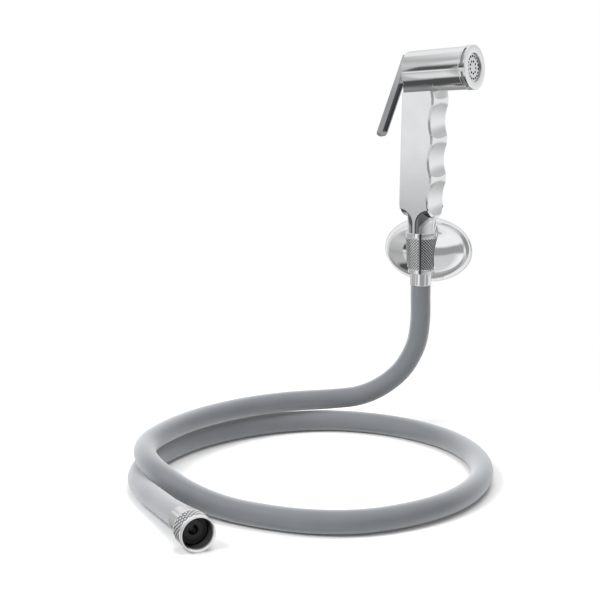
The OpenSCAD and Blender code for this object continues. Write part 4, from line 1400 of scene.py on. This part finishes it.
@dataclass
class Studio:
    """The camera, the floor, the lamps and the room, in metres and degrees.

    Attributes:
        camera_at: where the camera stands, at the photograph's angle.
        camera_tilt: its tilt up from straight down.
        camera_round: its bearing from the wall's normal.
        camera_lens: its focal length in millimetres.
        floor_size: half the floor's side.
        middle: the middle of the hose's loop on the floor.
        shadow_r: the radius within which the floor keeps its shadows.
        white_r: the radius past which it is plain white.
        fill: the room's even light on whatever isn't metal.
    """

    camera_at: Triple = (0.3096, -1.0804, 0.1820)
    camera_tilt: float = 78.8
    camera_round: float = 21.0
    camera_lens: float = 89.4
    floor_size: float = 12.0
    middle: Triple = (-0.03, -0.17, FLOOR_Z)
    shadow_r: float = 0.22
    white_r: float = 0.36
    fill: float = 0.46

    def camera(self) -> None:
        """Adds the camera and looks through it."""
        data = bpy.data.cameras.new("camera")
        data.lens = self.camera_lens
        data.sensor_width = 36.0
        data.clip_end = 100.0
        obj = add_object("camera", data)
        obj.location = self.camera_at
        obj.rotation_euler = (np.radians(self.camera_tilt), 0.0, np.radians(self.camera_round))
        bpy.context.scene.camera = obj

    def floor(self) -> None:
        """A wide pale floor: it keeps the shadows near the part, and is plain white far off.

        The far white takes over between two radii from the hose's loop, for the camera alone.
        """
        s = self.floor_size
        mesh = bpy.data.meshes.new("floor")
        corners = [(-s, -s, FLOOR_Z), (s, -s, FLOOR_Z), (s, s, FLOOR_Z), (-s, s, FLOOR_Z)]
        mesh.from_pydata(corners, [], [(0, 1, 2, 3)])
        mat = bpy.data.materials.new("floor_white")
        mat.use_nodes = True
        n = Nodes(mat.node_tree)
        shader = n.tree.nodes["Principled BSDF"]
        for label, value in (("Base Color", (0.93, 0.93, 0.93, 1)), ("Roughness", 0.9),
                             ("Specular IOR Level", 0.0)):
            n.put(shader.inputs[label], value)
        place = n.add("TexCoord").outputs["Object"]
        far = n.add("VectorMath", {"operation": "DISTANCE"}, i0=place, i1=self.middle)
        white = n.spread(far.outputs["Value"], self.shadow_r, self.white_r)
        mask = n.math("MULTIPLY", white, n.add("LightPath").outputs["Is Camera Ray"])
        glow = n.add("Emission", Color=(1, 1, 1, 1), Strength=1.0).outputs[0]
        both = n.add("MixShader", i0=mask, i1=shader.outputs[0], i2=glow)
        n.put(n.tree.nodes["Material Output"].inputs["Surface"], both.outputs[0])
        mesh.materials.append(mat)
        obj = add_object("floor", mesh)
        obj.visible_glossy = False

    def lamp(self, name: str, place: Triple, target: Triple, size: tuple[float, float],
             power: float) -> None:
        """A rectangular softbox that mirrors don't show.

        Args:
            name: its name.
            place: where it stands.
            target: what it faces.
            size: its width and height.
            power: its power in watts.
        """
        data = bpy.data.lights.new(name, "AREA")
        data.shape = "RECTANGLE"
        data.size, data.size_y = size
        data.energy = power
        obj = add_object(name, data)
        obj.location = place
        way = Vector(target) - Vector(place)
        obj.rotation_euler = way.to_track_quat("-Z", "Y").to_euler()
        obj.visible_glossy = False

    def room(self) -> None:
        """A white room to the camera, an even grey light, and a banded studio in metal.

        In a mirror, the tone at a bearing and a height angle is read from seven ramps of the
        height angle, one for each side of the studio, which melt into each other by bearing.
        The front's ramps are raised towards the middle of the front's right.
        """
        world = bpy.data.worlds.new("white_room")
        bpy.context.scene.world = world
        world.use_nodes = True
        n = Nodes(world.node_tree)
        way = n.add("SeparateXYZ", Vector=n.add("TexCoord").outputs["Generated"]).outputs
        up = n.math("MULTIPLY", n.math("ARCSINE", way[2]), 180 / np.pi)
        bearing = n.math("MULTIPLY", n.math("ARCTAN2", way[1], way[0]), 180 / np.pi)
        lift = n.math("MULTIPLY", self.hump(n, bearing, 0, 10, 80), 11.0)
        raised = n.math("SUBTRACT", up, lift)
        front = n.mix(n.spread(bearing, -30, 0), n.ramp(raised, FRONT),
                      n.ramp(raised, FRONT_RIGHT))
        tone = n.ramp(up, LEFT)
        for side, middle, inner, outer in (
                (n.ramp(up, LEFT_FRONT), -134, 5, 8), (n.ramp(up, PLATE), -112, 8, 14),
                (front, -30, 62, 76), (n.ramp(up, BACK), 105, 40, 62),
                (n.ramp(up, RIGHT_BACK), 48, 13, 22)):
            tone = n.mix(self.hump(n, bearing, middle, inner, outer), tone, side)
        path = n.add("LightPath").outputs
        light = n.mix(path["Is Glossy Ray"], (self.fill, self.fill, self.fill, 1), tone)
        seen = n.mix(path["Is Camera Ray"], light, (1, 1, 1, 1))
        n.put(n.tree.nodes["Background"].inputs["Color"], seen)

    def hump(self, n: Nodes, bearing: Socket, middle: float, inner: float,
             outer: float) -> Socket:
        """A mask that is 1 within the inner angle of a bearing and 0 past the outer one.

        Args:
            n: the tree's node maker.
            bearing: the direction's bearing in degrees.
            middle: the mask's middle bearing.
            inner: the half-angle where it starts to fall.
            outer: the half-angle where it has gone.

        Returns:
            The mask.
        """
        off = n.math("ABSOLUTE", n.math("SUBTRACT", bearing, middle))
        return n.spread(n.math("PINGPONG", off, 180.0), inner, outer, 1.0, 0.0, "SMOOTHSTEP")

    def build(self) -> None:
        """Sets up the whole studio."""
        self.camera()
        self.floor()
        self.room()
        self.lamp("key_softbox", (-1.1, -1.2, 1.5), (0, -0.1, -0.05), (0.9, 0.9), 30)
        self.lamp("top_softbox", (0.1, 0.2, 1.7), (0, -0.1, -0.1), (1.4, 1.2), 22)
        bpy.context.scene.view_settings.view_transform = "Standard"


def main() -> None:
    """Builds every sub-assembly in order and reports it."""
    logging.basicConfig(level=logging.INFO, format="%(message)s", force=True)
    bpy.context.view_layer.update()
    kit = FinishKit()
    for kind in (Fittings, TapNut, Hose, ConeNut, Handle, Barrel, SprayCap, Lever, WallHolder):
        kind(kit).build()
    dress_cad_nodes(kit)
    Studio().build()


if __name__ == "__main__":
    main()
